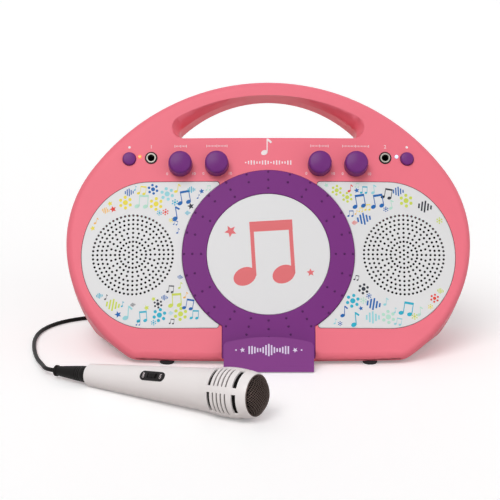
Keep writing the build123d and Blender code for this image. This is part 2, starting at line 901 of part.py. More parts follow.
def tray_rails():
    """Two rails screwed into the base channel, each with a lip under the tray's plate."""
    rails = []
    inner = plate_half_width + rail_gap
    for side in (-1, 1):
        start = front_y + 1
        length = channel_length - 1
        web = Pos(side * (inner + rail_width / 2), start + length / 2, foot_height + channel_height / 2)
        rail = web * Box(rail_width, length, channel_height)
        lip_top = plate_bottom - rail_gap
        lip_height = lip_top - foot_height
        place = Pos(side * (inner - rail_lip / 2), start + length / 2, foot_height + lip_height / 2)
        rails.append(rail + place * Box(rail_lip, length, lip_height))
    return rails


# ---------------- Feet and screws ----------------


def rubber_feet():
    feet = []
    for x, y in feet_places:
        height = foot_height + foot_recess
        foot = Pos(x, front_y + y, height / 2) * Cylinder(foot_radius, height)
        feet.append(chamfer(foot.edges().group_by(Axis.Z)[0], foot_edge))
    return feet


def case_screws():
    screws = []
    seat = housing_depth - screw_sink
    for x, z in screw_places:
        head = screw_post(x, z, screw_head_radius, seat, seat + screw_head_height)
        shank = screw_post(x, z, screw_radius, seam_at(z) - screw_grip, seat)
        screws.append(head + shank)
    return screws


# ---------------- Microphone ----------------

mic_tilt = math.asin((mic_head[1] - mic_tail_radius) / (mic_head[0] - 2.0))


def microphone_plane():
    """Plane at the tail end of the handle, with +Z along the microphone to its grille."""
    turn = math.radians(mic_turn)
    along = Vector(
        math.cos(mic_tilt) * math.cos(turn), -math.cos(mic_tilt) * math.sin(turn), math.sin(mic_tilt)
    )
    side = Vector(math.sin(turn), math.cos(turn), 0)
    tail_height = mic_tail_radius * math.cos(mic_tilt) - 2.0 * math.sin(mic_tilt)
    rim = Vector(mic_rim[0], mic_rim[1], tail_height + mic_length * math.sin(mic_tilt))
    return Plane(origin=rim - along * mic_length, x_dir=-side, z_dir=along)


mic_plane = microphone_plane()


def turned_on_mic(face):
    return mic_plane * revolve(face, Axis.Z)


def mic_profile(points_builder):
    with BuildSketch(Plane.XZ) as profile:
        with BuildLine():
            points_builder()
        make_face()
    return profile.sketch


def outer_lines():
    """Outer line of the handle and head, from the tail to the rim."""
    Line((0, 0), (mic_tail_radius - 2, 0))
    ThreePointArc((mic_tail_radius - 2, 0), (mic_tail_radius - 0.6, 0.6), (mic_tail_radius, 2))
    Line((mic_tail_radius, 2), (mic_neck[1], mic_neck[0]))
    Spline(
        (mic_neck[1], mic_neck[0]),
        (mic_head[1], mic_head[0]),
        (mic_rim_radius, mic_length),
        tangents=[(mic_neck[1] - mic_tail_radius, mic_neck[0] - 2), (-0.3, 1)],
    )


def mic_solid():
    def lines():
        outer_lines()
        Line((mic_rim_radius, mic_length), (0, mic_length))
        Line((0, mic_length), (0, 0))

    return revolve(mic_profile(lines), Axis.Z)


def mic_hollow():
    def lines():
        end = mic_length - 3
        Line((0, 6), (mic_tail_radius - mic_wall - 1, 6))
        Line((mic_tail_radius - mic_wall - 1, 6), (mic_neck[1] - mic_wall, mic_neck[0]))
        Spline(
            (mic_neck[1] - mic_wall, mic_neck[0]),
            (mic_head[1] - mic_wall, mic_head[0]),
            (mic_rim_radius - mic_wall, end),
            tangents=[(mic_neck[1] - mic_tail_radius, mic_neck[0] - 2), (-0.2, 1)],
        )
        Line((mic_rim_radius - mic_wall, end), (mic_rim_radius - mic_wall, mic_length))
        Line((mic_rim_radius - mic_wall, mic_length), (0, mic_length))
        Line((0, mic_length), (0, 6))

    return revolve(mic_profile(lines), Axis.Z)


def head_slot(start, width, turn):
    """One slot of the head's grille, a band cut through the wall over part of a turn."""
    with BuildSketch(Plane.XZ) as band:
        with Locations((mic_head[1] - 3, start + width / 2)):
            Rectangle(10, width)
    return Rot(0, 0, turn - slot_span / 2) * revolve(band.sketch, Axis.Z, revolution_arc=slot_span)


def mic_housing():
    """Tapered hollow handle and head, with slots round the head and a seat for the switch."""
    shell = mic_solid() - mic_hollow()
    for turn in range(slot_groups):
        angle = first_rib + 360 / slot_groups * (turn + 0.5)
        shell = shell - head_slot(*rear_slot, angle) - head_slot(*front_slot, angle)
    shell = shell - Pos(0, 0, 2) * Cylinder(relief_peg + 0.05, 20)
    shell = shell - Pos(0, 0, mic_length) * Cylinder(mesh_radius + 0.1, 2 * mesh_seat)
    pocket = SlotOverall(*(size + 0.3 for size in switch_plate_size))
    seat = Pos(0, 0, -switch_sink) * extrude(pocket, 10)
    through = Pos(0, 0, -6) * extrude(Rectangle(*switch_slot), 10)
    return mic_plane * shell - switch_plane() * seat - switch_plane() * through


def switch_plane():
    """Plane on the handle where the switch plate lies, with +X along the handle."""
    slope = math.atan((mic_neck[1] - mic_tail_radius) / (mic_neck[0] - 2))
    radius = mic_tail_radius + (switch_place - 2) * math.tan(slope)
    angle = math.radians(switch_angle)
    out = Vector(math.cos(angle), -math.sin(angle), 0)
    along = Vector(0, 0, 1)
    local = Plane(
        origin=out * radius + along * switch_place,
        x_dir=along * math.cos(slope) + out * math.sin(slope),
        z_dir=out * math.cos(slope) - along * math.sin(slope),
    )
    origin = mic_plane.from_local_coords(local.origin)
    return Plane(
        origin=origin,
        x_dir=mic_plane.from_local_coords(local.origin + local.x_dir) - origin,
        z_dir=mic_plane.from_local_coords(local.origin + local.z_dir) - origin,
    )


def mic_switch_plate():
    plate = extrude(SlotOverall(*switch_plate_size), switch_plate_height)
    plate = plate - extrude(Rectangle(*switch_slot), 10)
    return switch_plane() * (Pos(0, 0, -switch_sink) * plate)


def mic_switch_slider():
    length = switch_slot[0] - 2 * switch_throw - 0.4
    width = switch_slot[1] - 0.4
    foot = -3.05
    block = Pos(0, 0, foot) * extrude(Rectangle(length, width), slider_stand - foot)
    for along in slider_grips:
        grip = extrude(Rectangle(grip_size[0], width), grip_size[1])
        block = block + Pos(along, 0, slider_stand) * grip
    return switch_plane() * block


def mic_switch():
    """Slide switch inside the handle, under the slider."""
    length, width, height = switch_body
    return switch_plane() * (Pos(0, 0, -8.15) * extrude(Rectangle(length, width), height))


def mic_grille():
    """Domed mesh shell, with a short skirt that sits in the rim."""
    reach = (mesh_radius**2 + mic_dome**2) / (2 * mic_dome)
    middle = mic_length + mic_dome - reach
    shell = Pos(0, 0, middle) * (Sphere(reach) - Sphere(reach - 1))
    shell = shell & (Pos(0, 0, mic_length + 20) * Cylinder(mesh_radius, 40))
    skirt = Pos(0, 0, mic_length - mesh_seat / 2) * (
        Cylinder(mesh_radius, mesh_seat) - Cylinder(mesh_radius - 1, mesh_seat)
    )
    return mic_plane * (shell + skirt)


def mic_capsule():
    return mic_plane * (Pos(0, 0, capsule_place) * Cylinder(capsule_radius, capsule_length))


def capsule_mount():
    """Rubber ring that holds the capsule in the head."""
    place = Pos(0, 0, capsule_place - capsule_length / 2 + 2.5)
    blank = place * Cylinder(mic_head[1], 3) & mic_hollow()
    return mic_plane * (blank - place * Cylinder(capsule_radius, 5))


def mic_strain_relief():
    """Tapered sleeve on the tail, with a collar at its tip and a peg in the handle."""
    with BuildSketch(Plane.XZ) as profile:
        with BuildLine():
            Polyline(
                (0, 5), (relief_peg, 5), (relief_peg, 0), (relief_radius, 0),
                (relief_tip_radius, collar_length - relief_length),
                (collar_radius, collar_length - relief_length - 0.4),
                (collar_radius, 0.8 - relief_length), (collar_radius - 0.8, -relief_length),
                (0, -relief_length), close=True,
            )
        make_face()
    return turned_on_mic(profile.sketch)


# ---------------- Cord, coil and plug ----------------


def route_radii(points):
    """Largest arc at each inner point: 0.45 of the shorter run over the tangent of half the turn."""
    radii = []
    for before, here, after in zip(points, points[1:], points[2:]):
        run_in = Vector(*here) - Vector(*before)
        run_out = Vector(*after) - Vector(*here)
        turn = math.radians(run_in.get_angle(run_out))
        radii.append(0.45 * min(run_in.length, run_out.length) / math.tan(turn / 2))
    return radii


def cord_tube(points):
    radii = route_radii(points)
    path = FilletPolyline(*points, radius=radii)
    print("cord radii", [round(radius, 1) for radius in radii], "length", round(path.length, 1))
    start = Plane(origin=points[0], z_dir=Vector(*points[1]) - Vector(*points[0]))
    tube = sweep(start * Circle(cord_radius), path=path)
    print("cord volume ratio", round(tube.volume / (math.pi * cord_radius**2 * path.length), 4))
    return tube


def mic_cord():
    tip = mic_plane.from_local_coords(Vector(0, 0, -relief_length))
    first = mic_plane.from_local_coords(Vector(0, 0, -relief_length - cord_start))
    print("cord start", tuple(tip), tuple(first))
    return cord_tube([tuple(tip), tuple(first)] + cord_route)


def mic_cord_coil():
    ring = Cylinder(coil_outer, coil_height) - Cylinder(coil_inner, coil_height)
    ring = fillet(ring.edges(), coil_edge)
    return Pos(*coil_center, coil_height / 2) * ring


def mic_cord_tail():
    return cord_tube(tail_route)


def plug_plane():
    end, before = Vector(*tail_route[-1]), Vector(*tail_route[-2])
    return Plane(origin=end, z_dir=Vector(end.X - before.X, end.Y - before.Y, 0))


def plug_boot():
    return plug_plane() * Cone(cord_radius + 0.6, plug_radius - 1.2, boot_length, align=standing)


def mic_plug():
    """Metal plug: sleeve, and tip with its two insulating grooves."""
    with BuildSketch(Plane.XZ) as profile:
        with BuildLine():
            start = boot_length
            handle = start + plug_length
            end = handle + tip_length
            Polyline(
                (0, start), (plug_radius - 0.6, start), (plug_radius, start + 0.6), (plug_radius, handle),
                (tip_radius, handle), (tip_radius, end - 8), (tip_radius - 0.5, end - 7.4),
                (tip_radius - 0.5, end - 6.8), (tip_radius, end - 6.2), (tip_radius - 1.2, end - 3.4),
                (tip_radius - 0.3, end - 2), (1.0, end), (0, end), close=True,
            )
        make_face()
    return plug_plane() * revolve(profile.sketch, Axis.Z)


# ---------------- Files ----------------


def all_parts():
    parts = {
        "front_shell": front_shell(),
        "rear_shell": rear_shell(),
        "left_grille_panel": grille_panel(-1),
        "right_grille_panel": grille_panel(1),
        "rest_ring": rest_ring(),
        "rest_disc": rest_disc(),
        "ledge_tray": ledge_tray(),
        "tray_rails": tray_rails(),
        "potentiometers": potentiometers(),
        "control_board": control_board(),
        "switch_boards": switch_boards(),
        "tact_switches": tact_switches(),
        "jack_bushings": jack_bushings(),
        "jack_nuts": jack_nuts(),
        "main_board": main_board(),
        "dc_inlet": dc_inlet(),
        "line_in_jack": line_in_jack(),
        "battery_box": battery_box(),
        "battery_contacts": battery_contacts(),
        "battery_door": battery_door(),
        "rubber_feet": rubber_feet(),
        "case_screws": case_screws(),
        "mic_housing": mic_housing(),
        "mic_grille": mic_grille(),
        "mic_capsule": mic_capsule(),
        "capsule_mount": capsule_mount(),
        "mic_switch": mic_switch(),
        "mic_switch_plate": mic_switch_plate(),
        "mic_switch_slider": mic_switch_slider(),
        "mic_strain_relief": mic_strain_relief(),
        "mic_cord": mic_cord(),
        "mic_cord_coil": mic_cord_coil(),
        "mic_cord_tail": mic_cord_tail(),
        "plug_boot": plug_boot(),
        "mic_plug": mic_plug(),
    }
    for name in knob_places:
        parts[name + "_knob"] = knob(name)
        parts[name + "_shaft"] = knob_shaft(name)
    for name in button_places:
        parts[name + "_button"] = push_button(name)
        parts[name + "_led"] = led(name)
    for name in jack_places:
        parts[name] = mic_jack(name)
    for name, side in (("left", -1), ("right", 1)):
        parts[name + "_speaker_basket"] = speaker_basket(side)
        parts[name + "_speaker_cone"] = speaker_cone(side)
        parts[name + "_speaker_magnet"] = speaker_magnet(side)
    return parts


os.makedirs("parts", exist_ok=True)
for name, part in all_parts().items():
    solid = Compound(children=list(part)) if isinstance(part, list) else part
    export_step(solid, f"parts/{name}.step")
print("written")
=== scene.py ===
import random
from math import asin, atan, atan2, cos, degrees, hypot, pi, radians, sin, sqrt

import bmesh
import bpy
from mathutils import Matrix, Vector


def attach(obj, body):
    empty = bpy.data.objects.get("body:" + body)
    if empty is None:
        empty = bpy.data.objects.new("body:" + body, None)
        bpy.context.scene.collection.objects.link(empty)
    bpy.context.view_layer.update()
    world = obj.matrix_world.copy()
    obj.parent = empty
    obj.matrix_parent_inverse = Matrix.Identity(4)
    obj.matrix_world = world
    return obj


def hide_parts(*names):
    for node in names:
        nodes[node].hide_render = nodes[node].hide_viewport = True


ops = bmesh.ops
shift = Matrix.Translation


def turnedBy(angle):
    return Matrix.Rotation(angle, 4, "Z")


def sized(*sizes):
    return Matrix.Diagonal((*sizes, 1))


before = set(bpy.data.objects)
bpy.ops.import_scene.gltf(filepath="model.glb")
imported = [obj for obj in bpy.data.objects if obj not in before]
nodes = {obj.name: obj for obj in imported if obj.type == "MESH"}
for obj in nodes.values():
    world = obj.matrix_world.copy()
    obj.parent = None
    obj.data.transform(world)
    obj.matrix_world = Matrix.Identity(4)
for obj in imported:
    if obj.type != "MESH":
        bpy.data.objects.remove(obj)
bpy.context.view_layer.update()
print("frame loaded")

# camera

viewpoint = {
    "place": (-0.01749, -1.44133, 0.47617),
    "tiltDown": 14.0,
    "focalPixels": 1627.77,
    "pictureWidth": 500,
    "sensor": 36.0,
}


def newObject(name, data):
    made = bpy.data.objects.new(name, data)
    bpy.context.collection.objects.link(made)
    return made


def makeCamera(spec):
    data = bpy.data.cameras.new("camera")
    data.sensor_width = spec["sensor"]
    data.lens = spec["focalPixels"] * spec["sensor"] / spec["pictureWidth"]
    data.clip_end = 50.0
    camera = newObject("camera", data)
    camera.location = spec["place"]
    camera.rotation_euler = (radians(90 - spec["tiltDown"]), 0, 0)
    bpy.context.scene.camera = camera


makeCamera(viewpoint)
print("camera placed")

# materials

def linear(red, green, blue):
    # screen values 0-255 to scene colour
    values = [value / 255 for value in (red, green, blue)]
    return [v / 12.92 if v <= 0.04045 else ((v + 0.055) / 1.055) ** 2.4 for v in values] + [1.0]


def scaled(colour, amount):
    return [min(1.0, channel * amount) for channel in colour[:3]] + [1.0]


def setInputs(node, values):
    for name, value in values.items():
        node.inputs[name].default_value = value


def addNode(tree, kind, values=None, **modes):
    node = tree.nodes.new("ShaderNode" + kind)
    for mode, value in modes.items():
        setattr(node, mode, value)
    setInputs(node, values or {})
    return node


def moulded(
    name, tone, roughness, grain=0.06, grainScale=1600.0, drift=0.03, metallic=0.0, coat=0.0, shine=0.3
):
    # plastic, rubber or metal with a fine grain and a slight drift of tone
    colour = linear(*tone)
    material = bpy.data.materials.new(name)
    material.use_nodes = True
    tree = material.node_tree
    shader = tree.nodes["Principled BSDF"]
    gloss = {"Metallic": metallic, "Specular IOR Level": shine, "Coat Weight": coat, "Coat Roughness": 0.12}
    setInputs(shader, gloss)
    place = addNode(tree, "TexCoord")
    cloud = addNode(tree, "TexNoise", {"Scale": 14.0})
    ends = {"A": scaled(colour, 1 - drift), "B": scaled(colour, 1 + drift)}
    mix = addNode(tree, "Mix", ends, data_type="RGBA")
    fine = addNode(tree, "TexNoise", {"Scale": grainScale, "Detail": 3.0})
    spread = addNode(tree, "MapRange", {"To Min": max(0.02, roughness - 0.05), "To Max": roughness + 0.05})
    bump = addNode(tree, "Bump", {"Strength": grain, "Distance": 0.0002})
    link = tree.links.new
    link(place.outputs["Object"], cloud.inputs["Vector"])
    link(place.outputs["Object"], fine.inputs["Vector"])
    link(cloud.outputs["Fac"], mix.inputs["Factor"])
    link(mix.outputs["Result"], shader.inputs["Base Color"])
    link(fine.outputs["Fac"], spread.inputs["Value"])
    link(spread.outputs["Result"], shader.inputs["Roughness"])
    link(fine.outputs["Fac"], bump.inputs["Height"])
    link(bump.outputs["Normal"], shader.inputs["Normal"])
    return material


def lit(name, tone, glow, strength):
    # clear lens with a lamp behind it
    material = moulded(name, tone, roughness=0.15, grain=0.0, coat=0.5)
    lamp = {"Emission Color": linear(*glow), "Emission Strength": strength}
    setInputs(material.node_tree.nodes["Principled BSDF"], lamp)
    return material


pinkGloss = moulded("pinkGloss", (249, 124, 141), roughness=0.38, grain=0.05, shine=0.16)
whiteSatin = moulded("whiteSatin", (231, 231, 232), roughness=0.36, grain=0.05, drift=0.012)
purpleSatin = moulded(
    "purpleSatin", (122, 44, 128), roughness=0.42, grain=0.14, grainScale=1100.0, shine=0.18
)
# darker purple for the ring's grip bumps: painted shade
bumpShadePurple = moulded("bumpShadePurple", (84, 26, 92), roughness=0.5, grain=0.05, shine=0.18)
purpleGloss = moulded("purpleGloss", (116, 44, 126), roughness=0.33, grain=0.03, shine=0.18)
micWhite = moulded("micWhite", (247, 241, 240), roughness=0.32, grain=0.04, drift=0.01, coat=0.08)
# grey for the grooves in the white handle: painted shade
micGrooveShade = moulded("micGrooveShade", (112, 106, 105), roughness=0.5, grain=0.04, shine=0.1)
blackSatin = moulded("blackSatin", (28, 25, 26), roughness=0.4, grain=0.1, shine=0.2)
blackRubber = moulded("blackRubber", (17, 14, 14), roughness=0.5, grain=0.12, grainScale=900.0, shine=0.14)
jackSteel = moulded("jackSteel", (150, 146, 138), roughness=0.38, grain=0.05, metallic=0.8)
brightPlating = moulded("brightPlating", (205, 204, 206), roughness=0.16, grain=0.02, metallic=1.0)
turnedAluminium = moulded("turnedAluminium", (186, 186, 190), roughness=0.3, grain=0.1, metallic=1.0)
screwSteel = moulded("screwSteel", (118, 118, 122), roughness=0.34, grain=0.1, metallic=1.0)
blackFrame = moulded("blackFrame", (34, 33, 34), roughness=0.5, grain=0.15)
paperCone = moulded("paperCone", (20, 18, 18), roughness=0.85, grain=0.5, grainScale=500.0, shine=0.1)
darkFerrite = moulded("darkFerrite", (52, 51, 53), roughness=0.6, grain=0.3)
greenBoard = moulded("greenBoard", (30, 92, 58), roughness=0.35, grain=0.1, grainScale=400.0)
greyRubber = moulded("greyRubber", (34, 31, 34), roughness=0.75, grain=0.25, grainScale=700.0)
# dark plum, painted shade for the recess round the panels and the ring
paintedGapShade = moulded("paintedGapShade", (92, 30, 42), roughness=0.8, grain=0.0, shine=0.05)
# near black, painted shade for the walls of the sound holes and the panels' edges
paintedHoleShade = moulded("paintedHoleShade", (16, 14, 15), roughness=0.8, grain=0.0, shine=0.05)
warmLens = lit("warmLens", (246, 150, 84), (255, 160, 78), 0.7)
blueLens = lit("blueLens", (206, 228, 250), (184, 216, 255), 0.7)
wireBlack = moulded("wireBlack", (88, 74, 69), roughness=0.36, grain=0.05, metallic=0.6)
# black foam, also used as painted shade on the mic's slot walls and the switch's slot
foamAndShadeBlack = moulded("foamAndShadeBlack", (20, 17, 17), roughness=0.95, grain=0.8, grainScale=700.0, shine=0.1)
purpleLip = moulded("purpleLip", (128, 46, 132), roughness=0.4, grain=0.08, grainScale=1100.0)
markWhite = moulded("markWhite", (250, 236, 238), roughness=0.5, grain=0.0, drift=0.0)
markLilac = moulded("markLilac", (228, 214, 240), roughness=0.5, grain=0.0, drift=0.0)
markSalmon = moulded("markSalmon", (228, 112, 116), roughness=0.45, grain=0.02, drift=0.01)
inkTones = {
    "blue": (0, 98, 176),
    "cyan": (34, 178, 206),
    "aqua": (150, 214, 222),
    "mint": (184, 226, 208),
    "lime": (206, 220, 84),
    "yellow": (238, 222, 72),
    "amber": (244, 190, 84),
    "red": (226, 66, 52),
    "black": (30, 34, 48),
}
printInks = {
    name: moulded("ink" + name.capitalize(), tone, roughness=0.45, grain=0.0, drift=0.01)
    for name, tone in inkTones.items()
}
print("materials mixed")

# the machine's leaning, bowed face

housing = {"frontEdge": 0.012, "base": 0.0025, "lean": 25.5, "bowRadius": 2.1}


def onFace(across=0.0, up=0.0, out=0.0):
    # place on the leaning face: across, up the face, out of it
    foot = shift((0, housing["frontEdge"], housing["base"]))
    turn = Matrix.Rotation(radians(90 - housing["lean"]), 4, "X")
    return foot @ turn @ shift((across, up, out))


def bowDepth(across):
    return sqrt(housing["bowRadius"] ** 2 - across**2) - housing["bowRadius"]


def bendToFace(bm):
    # a piece drawn flat, x across and y up, follows the bow and goes to its place
    for vert in bm.verts:
        vert.co.z += bowDepth(vert.co.x)
    ops.transform(bm, matrix=onFace(), verts=bm.verts)


def bowShading(piece, near=1.5, far=30.0):
    # light on the bowed face follows its cylinder, not the long thin triangles of its mesh
    mesh = piece.data
    shaded = piece.evaluated_get(bpy.context.evaluated_depsgraph_get()).data
    normals = [corner.vector.copy() for corner in shaded.corner_normals]
    turn = onFace().to_3x3()
    slopes = [(turn @ Vector((v.co.x, 0, housing["bowRadius"]))).normalized() for v in mesh.vertices]
    nearCos, farCos = cos(radians(near)), cos(radians(far))
    onBow = set()
    for face in mesh.polygons:
        if face.normal.dot(slopes[face.vertices[0]]) > nearCos:
            onBow.update(face.vertices)
    for face in mesh.polygons:
        for corner in face.loop_indices:
            vert = mesh.loops[corner].vertex_index
            if vert in onBow and face.normal.dot(slopes[vert]) > farCos:
                normals[corner] = slopes[vert]
    piece.modifiers.clear()
    mesh.normals_split_custom_set(normals)


def finished(bm, name, materials, body="cabinet", replacing=(), place=None, sharp=32.0, clean=True):
    # a bmesh becomes an object that rides on its body and may stand for a frame node
    if place is not None:
        ops.transform(bm, matrix=place, verts=bm.verts)
    if clean:
        ops.remove_doubles(bm, verts=bm.verts, dist=1e-7)
        ops.recalc_face_normals(bm, faces=bm.faces)
    for face in bm.faces:
        face.smooth = True
    mesh = bpy.data.meshes.new(name)
    bm.to_mesh(mesh)
    bm.free()
    mesh.set_sharp_from_angle(angle=radians(sharp))
    for material in materials:
        mesh.materials.append(material)
    piece = newObject(name, mesh)
    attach(piece, body)
    if replacing:
        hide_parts(*replacing)
    return piece


# microphone cord: route, coil and tail on one line

cord = {
    "radius": 0.002,
    "route": [
        (-0.19588, -0.01756, 0.0072),
        (-0.20598, -0.01113, 0.0063),
        (-0.211, 0.0075, 0.0044),
        (-0.2195, 0.032, 0.0023),
        (-0.2265, 0.063, 0.002),
        (-0.2305, 0.096, 0.0022),
        (-0.2275, 0.129, 0.002),
        (-0.211, 0.157, 0.0021),
        (-0.182, 0.174, 0.002),
        (-0.152, 0.1785, 0.0022),
        (-0.132, 0.178, 0.002),
    ],
    "coilCentre": (-0.118, 0.2),
    "turnRadii": [22, 18, 18, 22, 22, 18, 18, 22, 26, 26, 26],
    "turnHeights": [2, 2, 6, 6, 10, 10, 14, 14, 14, 10, 6],
    "crossing": 0.3,
    "pointsPerTurn": 14,
    "tail": [(-0.104, 0.1745, 0.0054), (-0.09, 0.1765, 0.0052), (-0.077, 0.1835, 0.0052)],
    "length": 1.79,
}


def coilPoints(spec):
    # turns lie beside and on each other; the last part of each one crosses to the next place
    places = list(zip(spec["turnRadii"], spec["turnHeights"]))
    crossing = spec["crossing"]
    steps = spec["pointsPerTurn"]
    points = []
    for turn, (radius, height) in enumerate(places):
        nextRadius, nextHeight = places[min(turn + 1, len(places) - 1)]
        for step in range(steps):
            move = max(0.0, (step / steps - 1 + crossing) / crossing)
            angle = radians(-90 + 360 * step / steps)
            reach = (radius + (nextRadius - radius) * move) / 1000
            level = (height + (nextHeight - height) * move) / 1000
            across, back = spec["coilCentre"]
            points.append((across + reach * cos(angle), back + reach * sin(angle), level))
    return points


def makeCord(spec):
    curve = bpy.data.curves.new("cord", "CURVE")
    curve.dimensions = "3D"
    curve.bevel_depth = spec["radius"]
    curve.bevel_resolution = 3
    curve.resolution_u = 4
    curve.use_fill_caps = True
    spline = curve.splines.new("NURBS")
    points = spec["route"] + coilPoints(spec) + spec["tail"]
    spline.points.add(len(points) - 1)
    for point, place in zip(spline.points, points):
        point.co = (*place, 1.0)
    spline.order_u = 3
    spline.use_endpoint_u = True
    curve.materials.append(blackRubber)
    piece = newObject("cord", curve)
    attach(piece, "microphone")
    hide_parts("mic_cord", "mic_cord_coil", "mic_cord_tail")
    return piece


def softened(bm, edges, amount, segments=3):
    ops.bevel(bm, geom=edges, offset=amount, segments=segments, profile=0.5, affect="EDGES", material=-1)


cordTie = {
    "angle": 60.0,
    "inner": 0.0155,
    "outer": 0.0285,
    "top": 0.0165,
    "thick": 0.0008,
    "width": 0.006,
    "corner": 0.003,
}


def makeCordTie(spec, centre):
    # flat strap round the coil's section
    bm = bmesh.new()
    depth = spec["outer"] - spec["inner"]
    ops.create_cube(bm, size=1.0)
    ops.scale(bm, vec=(depth, spec["width"], spec["top"]), verts=bm.verts)
    ends = [face for face in bm.faces if abs(face.normal.y) > 0.5]
    ops.delete(bm, geom=ends, context="FACES_ONLY")
    along = [edge for edge in bm.edges if abs(edge.verts[0].co.y - edge.verts[1].co.y) > 0.001]
    softened(bm, along, spec["corner"], segments=5)
    ops.recalc_face_normals(bm, faces=bm.faces)
    ops.solidify(bm, geom=bm.faces, thickness=-spec["thick"])
    lift = shift((0, 0, spec["top"] / 2 + spec["thick"]))
    reach = shift((spec["inner"] + depth / 2, 0, 0))
    turn = turnedBy(radians(spec["angle"]))
    place = shift((*centre, 0)) @ turn @ reach @ lift
    return finished(bm, "cordTie", [blackSatin], "microphone", place=place)


cordPiece = makeCord(cord)
tiePiece = makeCordTie(cordTie, cord["coilCentre"])
print("cord wound")

# white speaker panels with their rings of sound holes

panel = {
    "ringHeight": 0.1064,
    "ringRadius": 0.0819,
    "gap": 0.00035,
    "arcAcross": 0.1145,
    "arcWidth": 0.0643,
    "halfHeight": 0.0713,
    "innerAcross": 0.0465,
    "corner": 0.003,
    "thickness": 0.002,
    "edgeRound": 0.0005,
    "speakerAcross": 0.1291,
    "holeCounts": [1, 6, 12, 24, 24, 24, 36, 44, 48, 60],
    "holePitch": 0.00425,
    "holeRadius": 0.00114,
    "holeSides": 12,
    "bendStep": 0.006,
}


def arcOn(bm, start, centre, angle, steps):
    # arc of edges from a vertex, returns its last vertex
    made = ops.spin(bm, geom=[start], cent=(*centre, 0), axis=(0, 0, 1), angle=angle, steps=steps)
    return next(item for item in made["geom_last"] if isinstance(item, bmesh.types.BMVert))


def vertsIn(made):
    return [item for item in made["geom"] if isinstance(item, bmesh.types.BMVert)]


def vertsSince(bm, before):
    return [vert for vert in bm.verts if vert not in before]


def edgesAmong(bm, verts):
    kept = set(verts)
    return [edge for edge in bm.edges if edge.verts[0] in kept and edge.verts[1] in kept]


def filledWith(bm, edges):
    ops.triangle_fill(bm, use_beauty=True, use_dissolve=False, edges=edges)


def lineTo(bm, start, place):
    end = bm.verts.new((*place, 0))
    bm.edges.new((start, end))
    return end


def panelLoop(bm, spec, inset, out):
    # outline of the right panel: ring's arc, inner corners, straight runs, half ellipse
    before = set(bm.verts)
    reach = spec["ringRadius"] + spec["gap"] + inset
    half = spec["halfHeight"] - spec["gap"] - inset
    inner = spec["innerAcross"] + spec["gap"] + inset
    corner = spec["corner"]
    rise = sqrt(reach**2 - inner**2)
    span = 2 * asin(rise / reach)
    first = bm.verts.new((inner, -rise, 0))
    vert = arcOn(bm, first, (0, 0), span, 40)
    vert = lineTo(bm, vert, (inner, half - corner))
    vert = arcOn(bm, vert, (inner + corner, half - corner), -pi / 2, 6)
    vert = lineTo(bm, vert, (spec["arcAcross"], half))
    straight = set(bm.verts)
    vert = arcOn(bm, vert, (spec["arcAcross"], 0), -pi, 48)
    middle = shift((-spec["arcAcross"], 0, 0))
    stretch = ((spec["arcWidth"] - spec["gap"] - inset) / half, 1, 1)
    ops.scale(bm, vec=stretch, space=middle, verts=vertsSince(bm, straight))
    vert = lineTo(bm, vert, (inner + corner, -half))
    vert = arcOn(bm, vert, (inner + corner, -half + corner), -pi / 2, 6)
    bm.edges.new((vert, first))
    loop = vertsSince(bm, before)
    ops.translate(bm, vec=(0, spec["ringHeight"], out), verts=loop)
    return edgesAmong(bm, loop)


def holeLoops(bm, spec):
    before = set(bm.edges)
    for ring, count in enumerate(spec["holeCounts"]):
        for index in range(count):
            angle = radians(90 + 360 * index / count)
            reach = ring * spec["holePitch"]
            across = spec["speakerAcross"] + reach * cos(angle)
            place = shift((across, spec["ringHeight"] + reach * sin(angle), 0))
            ops.create_circle(bm, segments=spec["holeSides"], radius=spec["holeRadius"], matrix=place)
    return [edge for edge in bm.edges if edge not in before]


def bisectForBend(bm, low, high, step):
    # cuts across a flat sheet so that it can follow the bow
    at = low + step
    while at < high:
        geometry = bm.verts[:] + bm.edges[:] + bm.faces[:]
        ops.bisect_plane(bm, geom=geometry, dist=1e-6, plane_co=(at, 0, 0), plane_no=(1, 0, 0))
        at += step


def makePanel(spec, side, name, node):
    bm = bmesh.new()
    rim = panelLoop(bm, spec, spec["edgeRound"], 0.0)
    holes = holeLoops(bm, spec)
    filledWith(bm, rim + holes)
    holeEdges = [edge for edge in holes if edge.is_valid]
    walls = ops.extrude_edge_only(bm, edges=holeEdges)
    dark = [item for item in walls["geom"] if isinstance(item, bmesh.types.BMFace)]
    ops.translate(bm, vec=(0, 0, -spec["thickness"]), verts=vertsIn(walls))
    shoulder = panelLoop(bm, spec, 0.0, -spec["edgeRound"])
    foot = panelLoop(bm, spec, 0.0, -spec["thickness"])
    ops.bridge_loops(bm, edges=rim + shoulder)
    dark += ops.bridge_loops(bm, edges=shoulder + foot)["faces"]
    # hole walls and the panel's edge walls are coloured near black: painted shade for the holes and the gap
    # round the panel
    for face in dark:
        face.material_index = 1
    bisectForBend(bm, spec["innerAcross"], spec["arcAcross"] + spec["arcWidth"], spec["bendStep"])
    if side < 0:
        ops.scale(bm, vec=(-1, 1, 1), verts=bm.verts)
    bendToFace(bm)
    bowShading(finished(bm, name, [whiteSatin, paintedHoleShade], replacing=[node], sharp=40.0))


makePanel(panel, -1, "leftPanel", "left_grille_panel")
makePanel(panel, 1, "rightPanel", "right_grille_panel")
print("panels drilled")

# purple ring with grip bumps, and the round white rest inside it

ring = {
    "radius": 0.0819,
    "neckHalf": 0.0437,
    "bottom": 0.0065,
    "stand": 0.0015,
    "under": -0.002,
    "round": 0.0007,
    "bumpRadius": 0.00115,
    "bumpHeight": 0.0005,
    "bumpRows": [0.0802, 0.0723, 0.0641],
    "bumpSteps": 24,
    "threeRowSteps": [11, 13],
}
restDisc = {"radius": 0.0588, "gap": 0.0003, "stand": 0.0009, "under": -0.002, "round": 0.0003}


